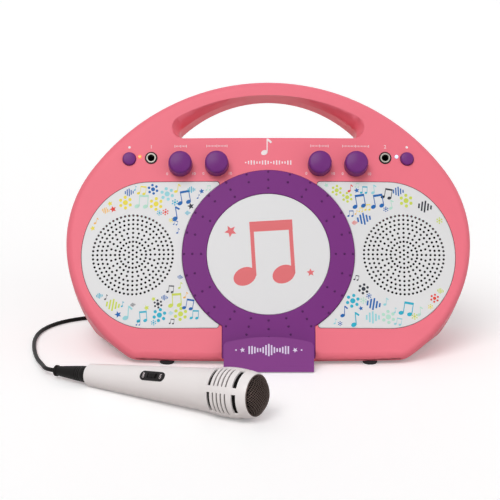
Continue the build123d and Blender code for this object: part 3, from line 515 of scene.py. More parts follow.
def ringLoop(bm, spec, inset, out):
    # big arc over the neck's two sides
    before = set(bm.verts)
    reach = spec["radius"] - inset
    half = spec["neckHalf"] - inset
    drop = sqrt(reach**2 - half**2)
    low = spec["bottom"] - panel["ringHeight"] + inset
    first = bm.verts.new((half, -drop, 0))
    span = 2 * pi - 2 * asin(half / reach)
    vert = arcOn(bm, first, (0, 0), span, 120)
    vert = lineTo(bm, vert, (-half, low))
    vert = lineTo(bm, vert, (half, low))
    bm.edges.new((vert, first))
    loop = vertsSince(bm, before)
    ops.translate(bm, vec=(0, panel["ringHeight"], out), verts=loop)
    return edgesAmong(bm, loop)


def circleLoop(bm, radius, out, segments=96):
    place = shift((0, panel["ringHeight"], out))
    made = ops.create_circle(bm, segments=segments, radius=radius, matrix=place)
    return edgesAmong(bm, made["verts"])


def bridged(bm, loops):
    for upper, lower in zip(loops, loops[1:]):
        ops.bridge_loops(bm, edges=upper + lower)


def addBump(bm, across, up, out, spec):
    # low dome on the ring, in a darker purple: painted shade for its shadowed sides
    size = sized(spec["bumpRadius"], spec["bumpRadius"], spec["bumpHeight"])
    lift = shift((across, up, out)) @ size
    made = ops.create_uvsphere(bm, u_segments=14, v_segments=8, radius=1.0, matrix=lift)
    for vert in made["verts"]:
        for face in vert.link_faces:
            face.material_index = 1
    under = [v for v in made["verts"] if v.co.z < out - spec["bumpHeight"] * 0.5]
    ops.delete(bm, geom=under, context="VERTS")


def makeRing(spec):
    bm = bmesh.new()
    top = spec["stand"]
    soft = spec["round"]
    turns = [radians(angle) for angle in (0, 30, 60, 90)]
    levels = [(soft * (1 - sin(turn)), top - soft * (1 - cos(turn))) for turn in turns]
    levels.append((0.0, spec["under"]))
    outer = [ringLoop(bm, spec, inset, out) for inset, out in levels]
    inner = [circleLoop(bm, restDisc["radius"] + inset, out) for inset, out in levels]
    filledWith(bm, outer[0] + inner[0])
    bridged(bm, outer)
    bridged(bm, inner)
    bisectForBend(bm, -spec["radius"], spec["radius"], panel["bendStep"])
    for step in range(spec["bumpSteps"]):
        angle = radians(90 + 360 / spec["bumpSteps"] * step)
        fullRow = step % 2 == 0 or step in spec["threeRowSteps"]
        for reach in spec["bumpRows"] if fullRow else spec["bumpRows"][:2]:
            up = panel["ringHeight"] + reach * sin(angle)
            addBump(bm, reach * cos(angle), up, top, spec)
    bendToFace(bm)
    tones = [purpleSatin, bumpShadePurple]
    piece = finished(bm, "purpleRing", tones, replacing=["rest_ring"], sharp=40.0)
    bowShading(piece, near=0.8)


def makeRestDisc(spec):
    bm = bmesh.new()
    outer = spec["radius"] - spec["gap"]
    soft = spec["round"]
    levels = ((soft, spec["stand"]), (0, spec["stand"] - soft), (0, spec["under"]))
    loops = [circleLoop(bm, outer - inset, out, segments=128) for inset, out in levels]
    filledWith(bm, loops[0])
    bridged(bm, loops)
    bisectForBend(bm, -outer, outer, panel["bendStep"])
    bendToFace(bm)
    bowShading(finished(bm, "whiteRest", [whiteSatin], replacing=["rest_disc"], sharp=40.0))


makeRing(ring)
makeRestDisc(restDisc)
print("ring and rest made")

# housing shells: the frame's own shapes with welded, smooth surfaces


recess = {"slack": 0.001, "neckFrom": 0.0055, "deepest": -0.0022, "highest": -0.0001}


def smoothCopy(node, name, materials, body="cabinet"):
    bm = bmesh.new()
    bm.from_mesh(nodes[node].data)
    ops.remove_doubles(bm, verts=bm.verts, dist=2e-6)
    if len(materials) > 1:
        shadeRecess(bm)
    piece = finished(bm, name, materials, body, [node], sharp=28.0, clean=False)
    shading = piece.modifiers.new("flats", "WEIGHTED_NORMAL")
    shading.mode = "FACE_AREA"
    shading.weight = 50
    shading.keep_sharp = True
    return piece


def shadeRecess(bm):
    # walls and floor of the recess behind the panels and the ring get the second material, a dark plum
    # painted shade for the gap
    back = onFace().inverted()
    slack = recess["slack"]
    for face in bm.faces:
        centre = back @ face.calc_center_median()
        across = abs(centre.x)
        depth = centre.z - bowDepth(centre.x)
        end = max(0.0, across - panel["arcAcross"]) / (panel["arcWidth"] + slack)
        height = (centre.y - panel["ringHeight"]) / (panel["halfHeight"] + slack)
        inNeck = across < ring["neckHalf"] + slack and recess["neckFrom"] < centre.y < panel["ringHeight"]
        inRing = hypot(centre.x, centre.y - panel["ringHeight"]) < ring["radius"] + slack
        inPanel = end**2 + height**2 < 1
        if recess["deepest"] < depth < recess["highest"] and (inPanel or inNeck or inRing):
            face.material_index = 1


bowShading(smoothCopy("front_shell", "frontShell", [pinkGloss, paintedGapShade]))
smoothCopy("rear_shell", "rearShell", [pinkGloss])
print("shells welded")

# printed motifs: notes, stars, rings and dots, as thin layers of ink

ink = {"thickness": 0.00006, "lift": 0.00001, "longest": 0.008}


def circleShape(bm, across, up, radius, segments=24, stretch=1.0, turn=0.0):
    place = shift((across, up, 0)) @ turnedBy(turn) @ sized(1, stretch, 1)
    ops.create_circle(bm, cap_ends=True, segments=segments, radius=radius, matrix=place)


def barShape(bm, across, up, width, height, turn=0.0):
    place = shift((across, up, 0)) @ turnedBy(turn) @ sized(width, height, 1)
    ops.create_grid(bm, x_segments=1, y_segments=1, size=0.5, matrix=place)


def singleNote(bm, size):
    # oval head, stem and a slanting flag, one high
    circleShape(bm, -0.16 * size, -0.36 * size, 0.19 * size, stretch=0.74, turn=0.4)
    barShape(bm, 0.0, 0.04 * size, 0.06 * size, 0.84 * size)
    barShape(bm, 0.13 * size, 0.32 * size, 0.3 * size, 0.12 * size, turn=-0.7)


def pairedNotes(bm, size):
    for across in (-0.36, 0.2):
        circleShape(bm, across * size, -0.34 * size, 0.17 * size, stretch=0.76, turn=0.4)
        barShape(bm, (across + 0.14) * size, 0.04 * size, 0.055 * size, 0.76 * size)
    barShape(bm, 0.06 * size, 0.38 * size, 0.62 * size, 0.15 * size)


def starShape(bm, size):
    place = turnedBy(pi / 2)
    made = ops.create_circle(bm, cap_ends=True, segments=10, radius=0.5 * size, matrix=place)
    inner = made["verts"][1::2]
    ops.scale(bm, vec=(0.46, 0.46, 1), verts=inner)


def dotRing(bm, size):
    for index in range(6):
        angle = radians(60 * index + 30)
        circleShape(bm, 0.36 * size * cos(angle), 0.36 * size * sin(angle), 0.11 * size, segments=14)
    circleShape(bm, 0, 0, 0.17 * size, segments=18)


def waveBars(bm, size):
    for index, height in enumerate((0.4, 0.8, 1.0, 0.6, 0.34)):
        barShape(bm, (index - 2) * 0.2 * size, 0, 0.11 * size, height * 0.8 * size)


motifShapes = {"note": singleNote, "pair": pairedNotes, "star": starShape, "dots": dotRing, "bars": waveBars}


def drawMotif(bm, kind, size, across, up, turn=0.0):
    before = set(bm.verts)
    motifShapes[kind](bm, size)
    made = vertsSince(bm, before)
    place = shift((across, up, 0)) @ turnedBy(turn)
    ops.transform(bm, matrix=place, verts=made)


def inkLayer(bm, out):
    # flat shapes become a thin layer that stands on a surface
    ops.translate(bm, vec=(0, 0, out + ink["lift"]), verts=bm.verts)
    made = ops.extrude_face_region(bm, geom=bm.faces[:])
    ops.translate(bm, vec=(0, 0, ink["thickness"]), verts=vertsIn(made))


def printOnFace(bm, name, material, out, body="cabinet", bend=True):
    # ink on a surface that stands a little out of the face
    long = [edge for edge in bm.edges if edge.calc_length() > ink["longest"]]
    ops.subdivide_edges(bm, edges=long, cuts=2, use_grid_fill=True)
    inkLayer(bm, out)
    if bend:
        bendToFace(bm)
    else:
        ops.transform(bm, matrix=onFace(), verts=bm.verts)
    finished(bm, name, [material], body, clean=False)


scatter = {
    "seed": 23,
    "bold": ["pair", "note", "bars", "dots"],
    "kinds": ["note", "pair", "star", "dots", "note", "bars", "pair"],
    "sizes": [0.0145, 0.0115, 0.0095, 0.008, 0.0068, 0.0056, 0.0048],
    "boldFrom": 0.009,
    "inks": list(inkTones),
    "shares": [8, 3, 2, 2, 3, 3, 2, 3, 2],
    "tries": 1500,
    "crowding": 0.44,
    "clearOfHoles": 0.0425,
    "edge": 0.003,
    "clearOfSeam": 0.022,
    "tilt": 0.2,
}


def insidePanel(across, up, margin):
    beyondArc = max(0.0, across - panel["arcAcross"]) / (panel["arcWidth"] - margin)
    height = abs(up) / (panel["halfHeight"] - margin)
    fromRing = hypot(across, up) - panel["ringRadius"]
    return (
        beyondArc**2 + height**2 < 1
        and across - margin > panel["innerAcross"]
        and fromRing > margin
        and hypot(across - panel["speakerAcross"], up) > scatter["clearOfHoles"] + margin
    )


def scatterMotifs(spec, side):
    # seeded places, large motifs first, none over another
    chooser = random.Random(spec["seed"] + side)
    placed = []
    for attempt in range(spec["tries"]):
        size = spec["sizes"][min(len(spec["sizes"]) - 1, attempt * len(spec["sizes"]) // spec["tries"])]
        across = chooser.uniform(panel["innerAcross"], panel["arcAcross"] + panel["arcWidth"])
        up = chooser.uniform(-panel["halfHeight"], panel["halfHeight"])
        if abs(up) < spec["clearOfSeam"] or not insidePanel(across, up, size / 2 + spec["edge"] / 2):
            continue
        if any(hypot(across - a, up - b) < spec["crowding"] * (size + s) for a, b, s, *rest in placed):
            continue
        kind = chooser.choice(spec["bold"] if size > spec["boldFrom"] else spec["kinds"])
        placed.append((across, up, size, kind, chooser.choices(spec["inks"], spec["shares"])[0]))
    return placed


def printPanel(spec, side, name):
    placed = scatterMotifs(spec, side)
    tilt = random.Random(spec["seed"])
    for tone in spec["inks"]:
        bm = bmesh.new()
        for across, up, size, kind, colour in placed:
            if colour == tone:
                turn = tilt.uniform(-spec["tilt"], spec["tilt"])
                drawMotif(bm, kind, size, side * across, panel["ringHeight"] + up, turn)
        if bm.faces:
            printOnFace(bm, name + tone.capitalize(), printInks[tone], 0.0)
        else:
            bm.free()


restMotifs = {
    "restNotes": [("pair", 0.066, 0.0, 0.002, 0.06)],
    "restStars": [("star", 0.012, -0.036, 0.022, 0.2), ("star", 0.008, 0.04, -0.018, -0.2)],
}


def printRest(motifs):
    for name, drawn in motifs.items():
        bm = bmesh.new()
        for kind, size, across, up, turn in drawn:
            drawMotif(bm, kind, size, across, panel["ringHeight"] + up, turn)
        printOnFace(bm, name, markSalmon, restDisc["stand"])


printPanel(scatter, -1, "leftPrint")
printPanel(scatter, 1, "rightPrint")
printRest(restMotifs)
print("motifs printed")

# marks round the controls: plain numbers, ticks and a small sign between the knobs

marks = {
    "knobs": {"echo": -0.0843, "mic_volume": -0.0494, "balance": 0.0494, "music_volume": 0.0843},
    "ticks": {"echo": 9, "mic_volume": 15, "balance": 13, "music_volume": 19},
    "tickPitch": 0.0014,
    "sockets": 0.1127,
    "buttons": 0.1338,
    "overUp": 0.2122,
    "knobUp": 0.1938,
    "labelUp": 0.0188,
    "numberDown": 0.0086,
    "numberAside": 0.0128,
    "textHeight": 0.0034,
    "numberHeight": 0.00272,
    "dotRadius": 0.0012,
    "tickWidth": 0.0005,
    "tallTick": 0.0024,
    "shortTick": 0.0014,
    "signUp": 0.2,
    "signNote": 0.017,
    "waves": 17,
    "wavePitch": 0.0027,
    "waveWidth": 0.0012,
    "waveSwing": 0.0032,
}


def addText(bm, words, height, across, up):
    # a text object becomes a mesh before it is placed; capitals fill 1 / 1.4 of the font's size
    curve = bpy.data.curves.new("mark", "FONT")
    curve.body = words
    curve.size = height * 1.4
    curve.align_x = "CENTER"
    curve.align_y = "CENTER"
    curve.resolution_u = 3
    holder = newObject("mark", curve)
    bpy.context.view_layer.update()
    flat = bpy.data.meshes.new_from_object(holder.evaluated_get(bpy.context.evaluated_depsgraph_get()))
    bpy.data.objects.remove(holder)
    before = set(bm.verts)
    bm.from_mesh(flat)
    bpy.data.meshes.remove(flat)
    made = vertsSince(bm, before)
    ops.translate(bm, vec=(across, up, 0), verts=made)


def tickRow(bm, spec, across, up, count):
    for index in range(count):
        height = spec["tallTick"] if index in (0, count // 2, count - 1) else spec["shortTick"]
        barShape(bm, across + (index - (count - 1) / 2) * spec["tickPitch"], up, spec["tickWidth"], height)


def printMarks(spec):
    bm = bmesh.new()
    for name, across in spec["knobs"].items():
        tickRow(bm, spec, across, spec["knobUp"] + spec["labelUp"], spec["ticks"][name])
        for side, number in ((-1, "0"), (1, "10")):
            aside = across + side * spec["numberAside"]
            addText(bm, number, spec["numberHeight"], aside, spec["knobUp"] - spec["numberDown"])
    for side, number in ((-1, "1"), (1, "2")):
        addText(bm, number, spec["textHeight"], side * spec["sockets"], spec["overUp"])
    for side in (-1, 1):
        circleShape(bm, side * spec["buttons"], spec["overUp"], spec["dotRadius"])
    drawMotif(bm, "note", spec["signNote"], -0.001, spec["signUp"] + 0.012)
    for index in range(spec["waves"]):
        across = (index - spec["waves"] // 2) * spec["wavePitch"]
        wave = spec["waveWidth"] + spec["waveSwing"] * abs(sin(index * 0.7))
        barShape(bm, across, spec["signUp"] - 0.004, spec["waveWidth"], wave)
    printOnFace(bm, "faceMarks", markWhite, 0.0)


printMarks(marks)
print("marks printed")

# turned pieces: knobs, buttons, socket rings

knob = {
    "radius": 0.0116,
    "height": 0.014,
    "crown": 0.0009,
    "edge": 0.0027,
    "gap": 0.001,
    "taper": 0.0005,
    "skirt": 0.0004,
    "wall": 0.0018,
    "hollow": 0.0015,
    "steps": 96,
}
button = {
    "up": 0.2006,
    "radius": 0.0064,
    "stand": 0.0032,
    "under": -0.006,
    "wall": 0.0008,
    "edge": 0.0016,
    "crown": 0.0003,
    "steps": 64,
}


def turned(bm, profile, steps):
    # closed profile of radius and height spun round Z
    verts = [bm.verts.new((radius, 0, height)) for radius, height in profile]
    edges = [bm.edges.new(pair) for pair in zip(verts, verts[1:])]
    ops.spin(
        bm, geom=verts + edges, cent=(0, 0, 0), axis=(0, 0, 1), angle=2 * pi, steps=steps, use_merge=True
    )
    ops.remove_doubles(bm, verts=bm.verts, dist=1e-7)


def roundedTop(radius, top, edge, crown, steps=6):
    # points from the side over a rounded edge to the crown in the middle
    points = []
    for step in range(steps + 1):
        angle = radians(90 * step / steps)
        points.append((radius - edge + edge * cos(angle), top - crown - edge + edge * sin(angle)))
    for step in range(1, steps + 1):
        share = 1 - step / steps
        points.append(((radius - edge) * share, top - crown * share**2))
    return points


def purpleControl(bm, name, body, node, place):
    finished(bm, name, [purpleGloss], body, [node], place, sharp=50.0)


def makeKnob(spec, name, across):
    bm = bmesh.new()
    radius = spec["radius"]
    skirt = spec["skirt"]
    profile = [(0, spec["hollow"]), (radius - spec["wall"], spec["hollow"])]
    profile += [(radius - 0.001, 0.0), (radius - skirt, 0.0), (radius, skirt)]
    profile += roundedTop(radius - spec["taper"], spec["height"], spec["edge"], spec["crown"])
    turned(bm, profile, spec["steps"])
    place = onFace(across, marks["knobUp"], bowDepth(across) + spec["gap"])
    purpleControl(bm, name + "Knob", name + "_dial", name + "_knob", place)


def makeButton(spec, name, across):
    bm = bmesh.new()
    profile = [(spec["radius"] - spec["wall"], spec["under"]), (spec["radius"], spec["under"])]
    profile += roundedTop(spec["radius"], spec["stand"], spec["edge"], spec["crown"])
    turned(bm, profile, spec["steps"])
    place = onFace(across, spec["up"], bowDepth(across))
    purpleControl(bm, name + "Button", name + "_key", name + "_button", place)


def turnedAt(bm, profile, steps, place):
    before = set(bm.verts)
    turned(bm, profile, steps)
    made = vertsSince(bm, before)
    ops.transform(bm, matrix=place, verts=made)


socket = {
    "up": 0.2013,
    "seat": -0.0005,
    "nut": 0.0059,
    "nutHeight": 0.0009,
    "bushing": 0.0048,
    "bushingHeight": 0.0014,
    "bushingDepth": 0.0049,
    "bushingFit": 0.00002,
    "bore": 0.00325,
    "bevel": 0.0003,
    "steps": 64,
}


def makeSockets(spec):
    # black nut round a bright threaded bushing, one on each side
    seat = spec["seat"]
    nut = spec["nut"]
    tube = spec["bushing"]
    bore = spec["bore"]
    bevel = spec["bevel"]
    top = seat + spec["nutHeight"]
    nutLine = [(tube, seat), (nut, seat), (nut, top - bevel), (nut - bevel, top), (tube, top)]
    outer = tube - spec["bushingFit"]
    low = seat - spec["bushingDepth"]
    top = seat + spec["bushingHeight"]
    tubeLine = [(bore, low), (outer, low), (outer, top - bevel), (tube - bevel, top), (bore + bevel, top)]
    tubeLine.append((bore, top - bevel))
    for name, node, line, material, slot in (
        ("jackNuts", "jack_nuts", nutLine, blackSatin, "jack_body"),
        ("jackBushings", "jack_bushings", tubeLine, jackSteel, "bright_metal"),
    ):
        bm = bmesh.new()
        for side in (-1, 1):
            place = onFace(side * marks["sockets"], spec["up"], bowDepth(marks["sockets"]))
            turnedAt(bm, line + line[:1], spec["steps"], place)
        finished(bm, name, [material], replacing=[node], sharp=30.0)


for name, across in marks["knobs"].items():
    makeKnob(knob, name, across)
makeButton(button, "power", -marks["buttons"])
makeButton(button, "pairing", marks["buttons"])
makeSockets(socket)
print("controls turned")

# ledge tray with a white printed sign

ledge = {
    "stand": 0.0135,
    "signUp": 0.0125,
    "bars": 15,
    "pitch": 0.0026,
    "barWidth": 0.0014,
    "tallest": 0.0115,
    "lowest": 0.28,
    "swing": 0.95,
    "star": 0.005,
    "starAcross": 0.0245,
    "dot": 0.0008,
    "dotAcross": 0.0305,
}


def printLedge(spec):
    bm = bmesh.new()
    middle = (spec["bars"] - 1) / 2
    for index in range(spec["bars"]):
        swing = 0.5 + 0.5 * cos((index - middle) * spec["swing"])
        share = swing * (1 - 0.5 * abs(index - middle) / middle)
        height = spec["tallest"] * (spec["lowest"] + (1 - spec["lowest"]) * share)
        barShape(bm, (index - middle) * spec["pitch"], spec["signUp"], spec["barWidth"], height)
    for side in (-1, 1):
        drawMotif(bm, "star", spec["star"], side * spec["starAcross"], spec["signUp"], 0.2 * side)
        circleShape(bm, side * spec["dotAcross"], spec["signUp"], spec["dot"], segments=14)
    printOnFace(bm, "ledgeSign", markLilac, spec["stand"], "ledge", bend=False)


smoothCopy("ledge_tray", "ledgeTray", [purpleLip], "ledge")
printLedge(ledge)
print("ledge printed")

# microphone: turned handle and slotted head, wire mesh, switch and cord sleeve

microphone = {
    "rimPlace": (-0.0117, -0.1349),
    "turn": 32.5,
    "tilt": 4.292,
    "length": 0.184,
    "tailRadius": 0.01,
    "tailRound": 0.002,
    "neck": (0.133, 0.0187),
    "head": (0.157, 0.0216),
    "rimRadius": 0.0189,
    "neckSlope": 0.0664,
    "headSlope": 0.03,
    "rimSlope": -0.26,
    "steps": 180,
    "groups": 5,
    "firstRib": -23.0,
    "ribHalf": 8.0,
    "start": 0.0042,
    "slots": [(0.146, 0.1493), (0.1712, 0.1754)],
    "slotDepth": 0.0016,
    "grooves": [(0.1522, 0.1537), (0.1563, 0.1578), (0.1604, 0.1619), (0.1645, 0.166)],
    "grooveDepth": 0.0008,
    "meshRadius": 0.0181,
    "dome": 0.009,
    "wires": 22,
    "wire": 0.00044,
    "wireTurn": 38.0,
    "handleStops": [0.02 + 0.0141 * step for step in range(9)],
    "headStops": [0.1345, 0.1375, 0.1405, 0.1435, 0.1683, 0.1697, 0.1768, 0.1785, 0.1805, 0.182],
    "slottedFrom": 0.0183,
    "sunkEnd": 0.1815,
    "hoopWall": 0.0011,
    "hoopDepth": 0.0016,
    "foamGap": 0.0012,
    "foamDrop": 0.0016,
}


def micFrame(spec):
    # Z from the tail to the grille, X to the front
    turn = radians(spec["turn"])
    tilt = radians(spec["tilt"])
    along = Vector((cos(tilt) * cos(turn), -cos(tilt) * sin(turn), sin(tilt)))
    front = Vector((-sin(turn), -cos(turn), 0))
    height = spec["tailRadius"] * cos(tilt) - spec["tailRound"] * sin(tilt)
    rim = Vector((*spec["rimPlace"], height + spec["length"] * sin(tilt)))
    axes = Matrix((front, along.cross(front), along)).transposed().to_4x4()
    return shift(rim - along * spec["length"]) @ axes


def easedRadius(share, start, end, slopeIn, slopeOut, span):
    # smooth curve between two radii with given slopes
    return (
        (2 * share**3 - 3 * share**2 + 1) * start
        + (share**3 - 2 * share**2 + share) * span * slopeIn
        + (3 * share**2 - 2 * share**3) * end
        + (share**3 - share**2) * span * slopeOut
    )


def micRadius(spec, distance):
    neckAt, neckRadius = spec["neck"]
    headAt, headRadius = spec["head"]
    if distance < neckAt:
        share = (distance - spec["tailRound"]) / (neckAt - spec["tailRound"])
        return spec["tailRadius"] + (neckRadius - spec["tailRadius"]) * share
    if distance < headAt:
        span = headAt - neckAt
        share = (distance - neckAt) / span
        return easedRadius(share, neckRadius, headRadius, spec["neckSlope"], spec["headSlope"], span)
    span = spec["length"] - headAt
    share = (distance - headAt) / span
    return easedRadius(share, headRadius, spec["rimRadius"], spec["headSlope"], spec["rimSlope"], span)


def micLine(spec):
    # from the tail's middle, over its rounded end, along the handle, over the rim and in
    start = spec["start"]
    soft = spec["tailRound"]
    tail = micRadius(spec, start + soft)
    line = [(0.0025, start)]
    for step in range(7):
        angle = radians(90 * step / 6)
        line.append((tail - soft + soft * sin(angle), start + soft - soft * cos(angle)))
    stops = spec["handleStops"] + spec["headStops"]
    stops += [place for band in spec["slots"] + spec["grooves"] for place in band]
    line += [(micRadius(spec, stop), stop) for stop in sorted(stops)]
    rim = spec["rimRadius"]
    line += [(rim + 0.0001, 0.1835), (rim - 0.0002, 0.18395), (spec["meshRadius"], spec["length"])]
    line += [(spec["meshRadius"], spec["sunkEnd"]), (0.0, spec["sunkEnd"])]
    return line


def bandFaces(bm, spec, bands):
    # faces of the head within these bands, ribs left out
    step = 360 / spec["groups"]
    chosen = []
    for face in bm.faces:
        centre = face.calc_center_median()
        if hypot(centre.x, centre.y) < spec["slottedFrom"]:
            continue
        turn = degrees(atan2(centre.y, centre.x)) - spec["firstRib"]
        fromRib = abs((turn + step / 2) % step - step / 2)
        if fromRib > spec["ribHalf"] and any(low < centre.z < high for low, high in bands):
            chosen.append(face)
    return chosen


def sink(bm, faces, depth, tone):
    # presses faces in towards the axis, leaving walls round them
    made = ops.extrude_face_region(bm, geom=faces)
    ops.delete(bm, geom=faces, context="FACES")
    for item in made["geom"]:
        if isinstance(item, bmesh.types.BMVert):
            share = 1 - depth / hypot(item.co.x, item.co.y)
            item.co.x *= share
            item.co.y *= share
        elif isinstance(item, bmesh.types.BMFace):
            item.material_index = tone


def makeMicBody(spec, place):
    bm = bmesh.new()
    turned(bm, micLine(spec), spec["steps"])
    # slot walls and floors take the black of the foam behind them; on the slot walls this is painted shade
    sink(bm, bandFaces(bm, spec, spec["slots"]), spec["slotDepth"], 1)
    # the grooves' walls and floors are grey: painted shade in the white handle
    sink(bm, bandFaces(bm, spec, spec["grooves"]), spec["grooveDepth"], 2)
    tones = [micWhite, foamAndShadeBlack, micGrooveShade]
    finished(bm, "micBody", tones, "microphone", ["mic_housing"], place, sharp=26.0)


def domeHeight(spec, reach):
    # sphere cap over the rim
    radius = (spec["meshRadius"] ** 2 + spec["dome"] ** 2) / (2 * spec["dome"])
    return sqrt(max(0.0, radius**2 - reach**2)) - radius + spec["dome"]


def makeMicMesh(spec, place):
    bm = bmesh.new()
    count = spec["wires"]
    ops.create_grid(bm, x_segments=count, y_segments=count, size=spec["meshRadius"])
    ops.rotate(bm, verts=bm.verts, cent=(0, 0, 0), matrix=turnedBy(radians(spec["wireTurn"])))
    far = [v for v in bm.verts if hypot(v.co.x, v.co.y) > spec["meshRadius"] - 0.0004]
    ops.delete(bm, geom=far, context="VERTS")
    for vert in bm.verts:
        vert.co.z = spec["length"] + domeHeight(spec, hypot(vert.co.x, vert.co.y)) - spec["wire"]
    ops.wireframe(
        bm, faces=bm.faces, thickness=spec["wire"], use_replace=True, use_boundary=True, use_even_offset=True
    )
    finished(bm, "micMesh", [wireBlack], "microphone", ["mic_grille"], place, clean=False)


def makeMicHoop(spec, place):
    bm = bmesh.new()
    rim = spec["meshRadius"]
    edge = spec["length"]
    inner = rim - spec["hoopWall"]
    low = edge - spec["hoopDepth"]
    hoop = [(rim, low), (rim, edge + 0.0003), (rim - 0.0004, edge + 0.0007), (inner, edge + 0.0004)]
    turned(bm, hoop + [(inner, low), (rim, low)], 96)
    finished(bm, "micHoop", [wireBlack], "microphone", place=place, sharp=50.0)


def makeMicFoam(spec, place):
    bm = bmesh.new()
    radius = spec["meshRadius"] - spec["foamGap"]
    foam = [(radius, spec["length"] - 0.0014)]
    for step in range(10):
        reach = radius * (1 - step / 9)
        foam.append((reach, spec["length"] + domeHeight(spec, reach) - spec["foamDrop"]))
    turned(bm, foam, 64)
    finished(bm, "micFoam", [foamAndShadeBlack], "microphone", place=place, sharp=60.0)


micPlace = micFrame(microphone)
makeMicBody(microphone, micPlace)
makeMicMesh(microphone, micPlace)
makeMicHoop(microphone, micPlace)
makeMicFoam(microphone, micPlace)
print("microphone turned")

sleeve = {
    "radius": 0.0076,
    "tip": 0.0044,
    "collar": 0.0052,
    "length": 0.035,
    "rings": 3,
    "firstRing": 0.003,
    "ringPitch": 0.0022,
    "ringDepth": 0.0003,
    "steps": 64,
}
micSwitch = {
    "place": 0.084,
    "angle": 41.0,
    "long": 0.0276,
    "wide": 0.0089,
    "top": 0.0005,
    "under": -0.0012,
    "edge": 0.0004,
    "slot": (0.011, 0.0044),
    "slider": (0.0066, 0.004, 0.0012),
    "sliderSunk": 0.0002,
    "sliderEdge": 0.0003,
    "ridge": (0.0007, 0.00344, 0.0005),
    "ridgePitch": 0.0017,
    "wordAt": 0.0094,
    "wordHeight": 0.0021,
}


def makeSleeve(spec, place):
    # cone with shallow rings near the handle and a collar at the cord
    bm = bmesh.new()
    length = spec["length"]
    radius = spec["radius"]
    dip = spec["ringDepth"]
    base = microphone["start"] + 0.0005
    line = [(0.0, base), (radius - 0.0002, base), (radius, base - 0.0008), (radius, -0.0003)]
    for ring in range(spec["rings"]):
        at = -spec["firstRing"] - spec["ringPitch"] * ring
        reach = radius + (radius - spec["tip"]) * at / length
        line += [(reach, at), (reach - dip, at - 0.0003), (reach - dip, at - 0.0007), (reach, at - 0.001)]
    line += [(spec["tip"], 0.003 - length), (spec["collar"] - 0.0003, 0.0027 - length)]
    line += [(spec["collar"], 0.0023 - length), (spec["collar"], 0.0008 - length)]
    line += [(spec["collar"] - 0.0008, -length), (0.0, -length)]
    turned(bm, line, spec["steps"])
    replaced = ["mic_strain_relief"]
    finished(bm, "cordSleeve", [blackRubber], "microphone", replaced, place, sharp=40.0)


def switchFrame(spec, mic, place):
    # X along the handle, Z out of it
    slope = atan((mic["neck"][1] - mic["tailRadius"]) / (mic["neck"][0] - mic["tailRound"]))
    radius = micRadius(mic, spec["place"])
    spin = turnedBy(radians(-spec["angle"]))
    lift = shift((radius, 0, spec["place"]))
    stand = Matrix(((0, 0, 1, 0), (0, -1, 0, 0), (1, 0, 0, 0), (0, 0, 0, 1)))
    return place @ spin @ lift @ Matrix.Rotation(slope, 4, "Y") @ stand


def makeSwitch(spec, place):
    bm = bmesh.new()
    half = spec["wide"] / 2
    reach = spec["long"] / 2 - half
    ops.create_circle(bm, cap_ends=True, segments=48, radius=half)
    for side in (-1, 1):
        end = [v for v in bm.verts if v.co.x * side > 1e-6]
        ops.translate(bm, vec=(side * reach, 0, 0), verts=end)
    ops.translate(bm, vec=(0, 0, spec["under"]), verts=bm.verts)
    raised = ops.extrude_face_region(bm, geom=bm.faces[:])
    ops.translate(bm, vec=(0, 0, spec["top"] - spec["under"]), verts=vertsIn(raised))
    rim = [e for e in bm.edges if all(abs(v.co.z - spec["top"]) < 1e-6 for v in e.verts)]
    softened(bm, rim, spec["edge"])
    finished(bm, "switchPlate", [blackSatin], "microphone", ["mic_switch_plate"], place)
    bm = bmesh.new()
    # a thin black sheet stands for the open slot in the plate: painted shade
    barShape(bm, 0, 0, *spec["slot"])
    printOnPlate(bm, place, spec["top"], "switchSlot", foamAndShadeBlack)
    bm = bmesh.new()
    stand = spec["slider"][2]
    lift = shift((0, 0, spec["top"] + stand / 2 - spec["sliderSunk"]))
    ops.create_cube(bm, size=1.0, matrix=lift @ sized(*spec["slider"]))
    softened(bm, bm.edges[:], spec["sliderEdge"])
    for index in (-1, 0, 1):
        lift = shift((spec["ridgePitch"] * index, 0, spec["top"] + stand - spec["sliderSunk"] / 2))
        ops.create_cube(bm, size=1.0, matrix=lift @ sized(*spec["ridge"]))
    finished(bm, "switchSlider", [blackSatin], "mic_thumb_switch", ["mic_switch_slider"], place)
    bm = bmesh.new()
    for side, word in ((-1, "OFF"), (1, "ON")):
        before = set(bm.verts)
        addText(bm, word, spec["wordHeight"], 0, 0)
        made = vertsSince(bm, before)
        turn = shift((side * spec["wordAt"], 0, 0)) @ turnedBy(pi / 2)
        ops.transform(bm, matrix=turn, verts=made)
    printOnPlate(bm, place, spec["top"], "switchWords", markWhite)


def printOnPlate(bm, place, out, name, material):
    # ink on the microphone's switch plate
    inkLayer(bm, out)
    finished(bm, name, [material], "microphone", place=place, clean=False)


makeSleeve(sleeve, micPlace)
makeSwitch(micSwitch, switchFrame(micSwitch, microphone, micPlace))
print("microphone dressed")

# finishes for the frame's own pieces

frameFinishes = [
    (pinkGloss, ["tray_rails", "battery_door"]),
    (screwSteel, ["potentiometers", "case_screws"]),
    (greenBoard, ["control_board", "switch_boards", "main_board"]),
    (blackSatin, ["tact_switches", "dc_inlet", "line_in_jack", "mic_switch", "mic_jack_1", "mic_jack_2"]),
    (blackFrame, ["battery_box", "left_speaker_basket", "right_speaker_basket"]),
    (brightPlating, ["battery_contacts", "mic_capsule", "mic_plug"]),
    (blackRubber, ["capsule_mount", "plug_boot"]),
    (turnedAluminium, [name + "_shaft" for name in marks["knobs"]]),
    (paperCone, ["left_speaker_cone", "right_speaker_cone"]),
    (darkFerrite, ["left_speaker_magnet", "right_speaker_magnet"]),
    (greyRubber, ["rubber_feet"]),
    (warmLens, ["power_led"]),
    (blueLens, ["pairing_led"]),
]

for material, names in frameFinishes:
    for name in names:
        nodes[name].data.materials.clear()
        nodes[name].data.materials.append(material)
print("frame pieces finished")

# floor, backdrop and light

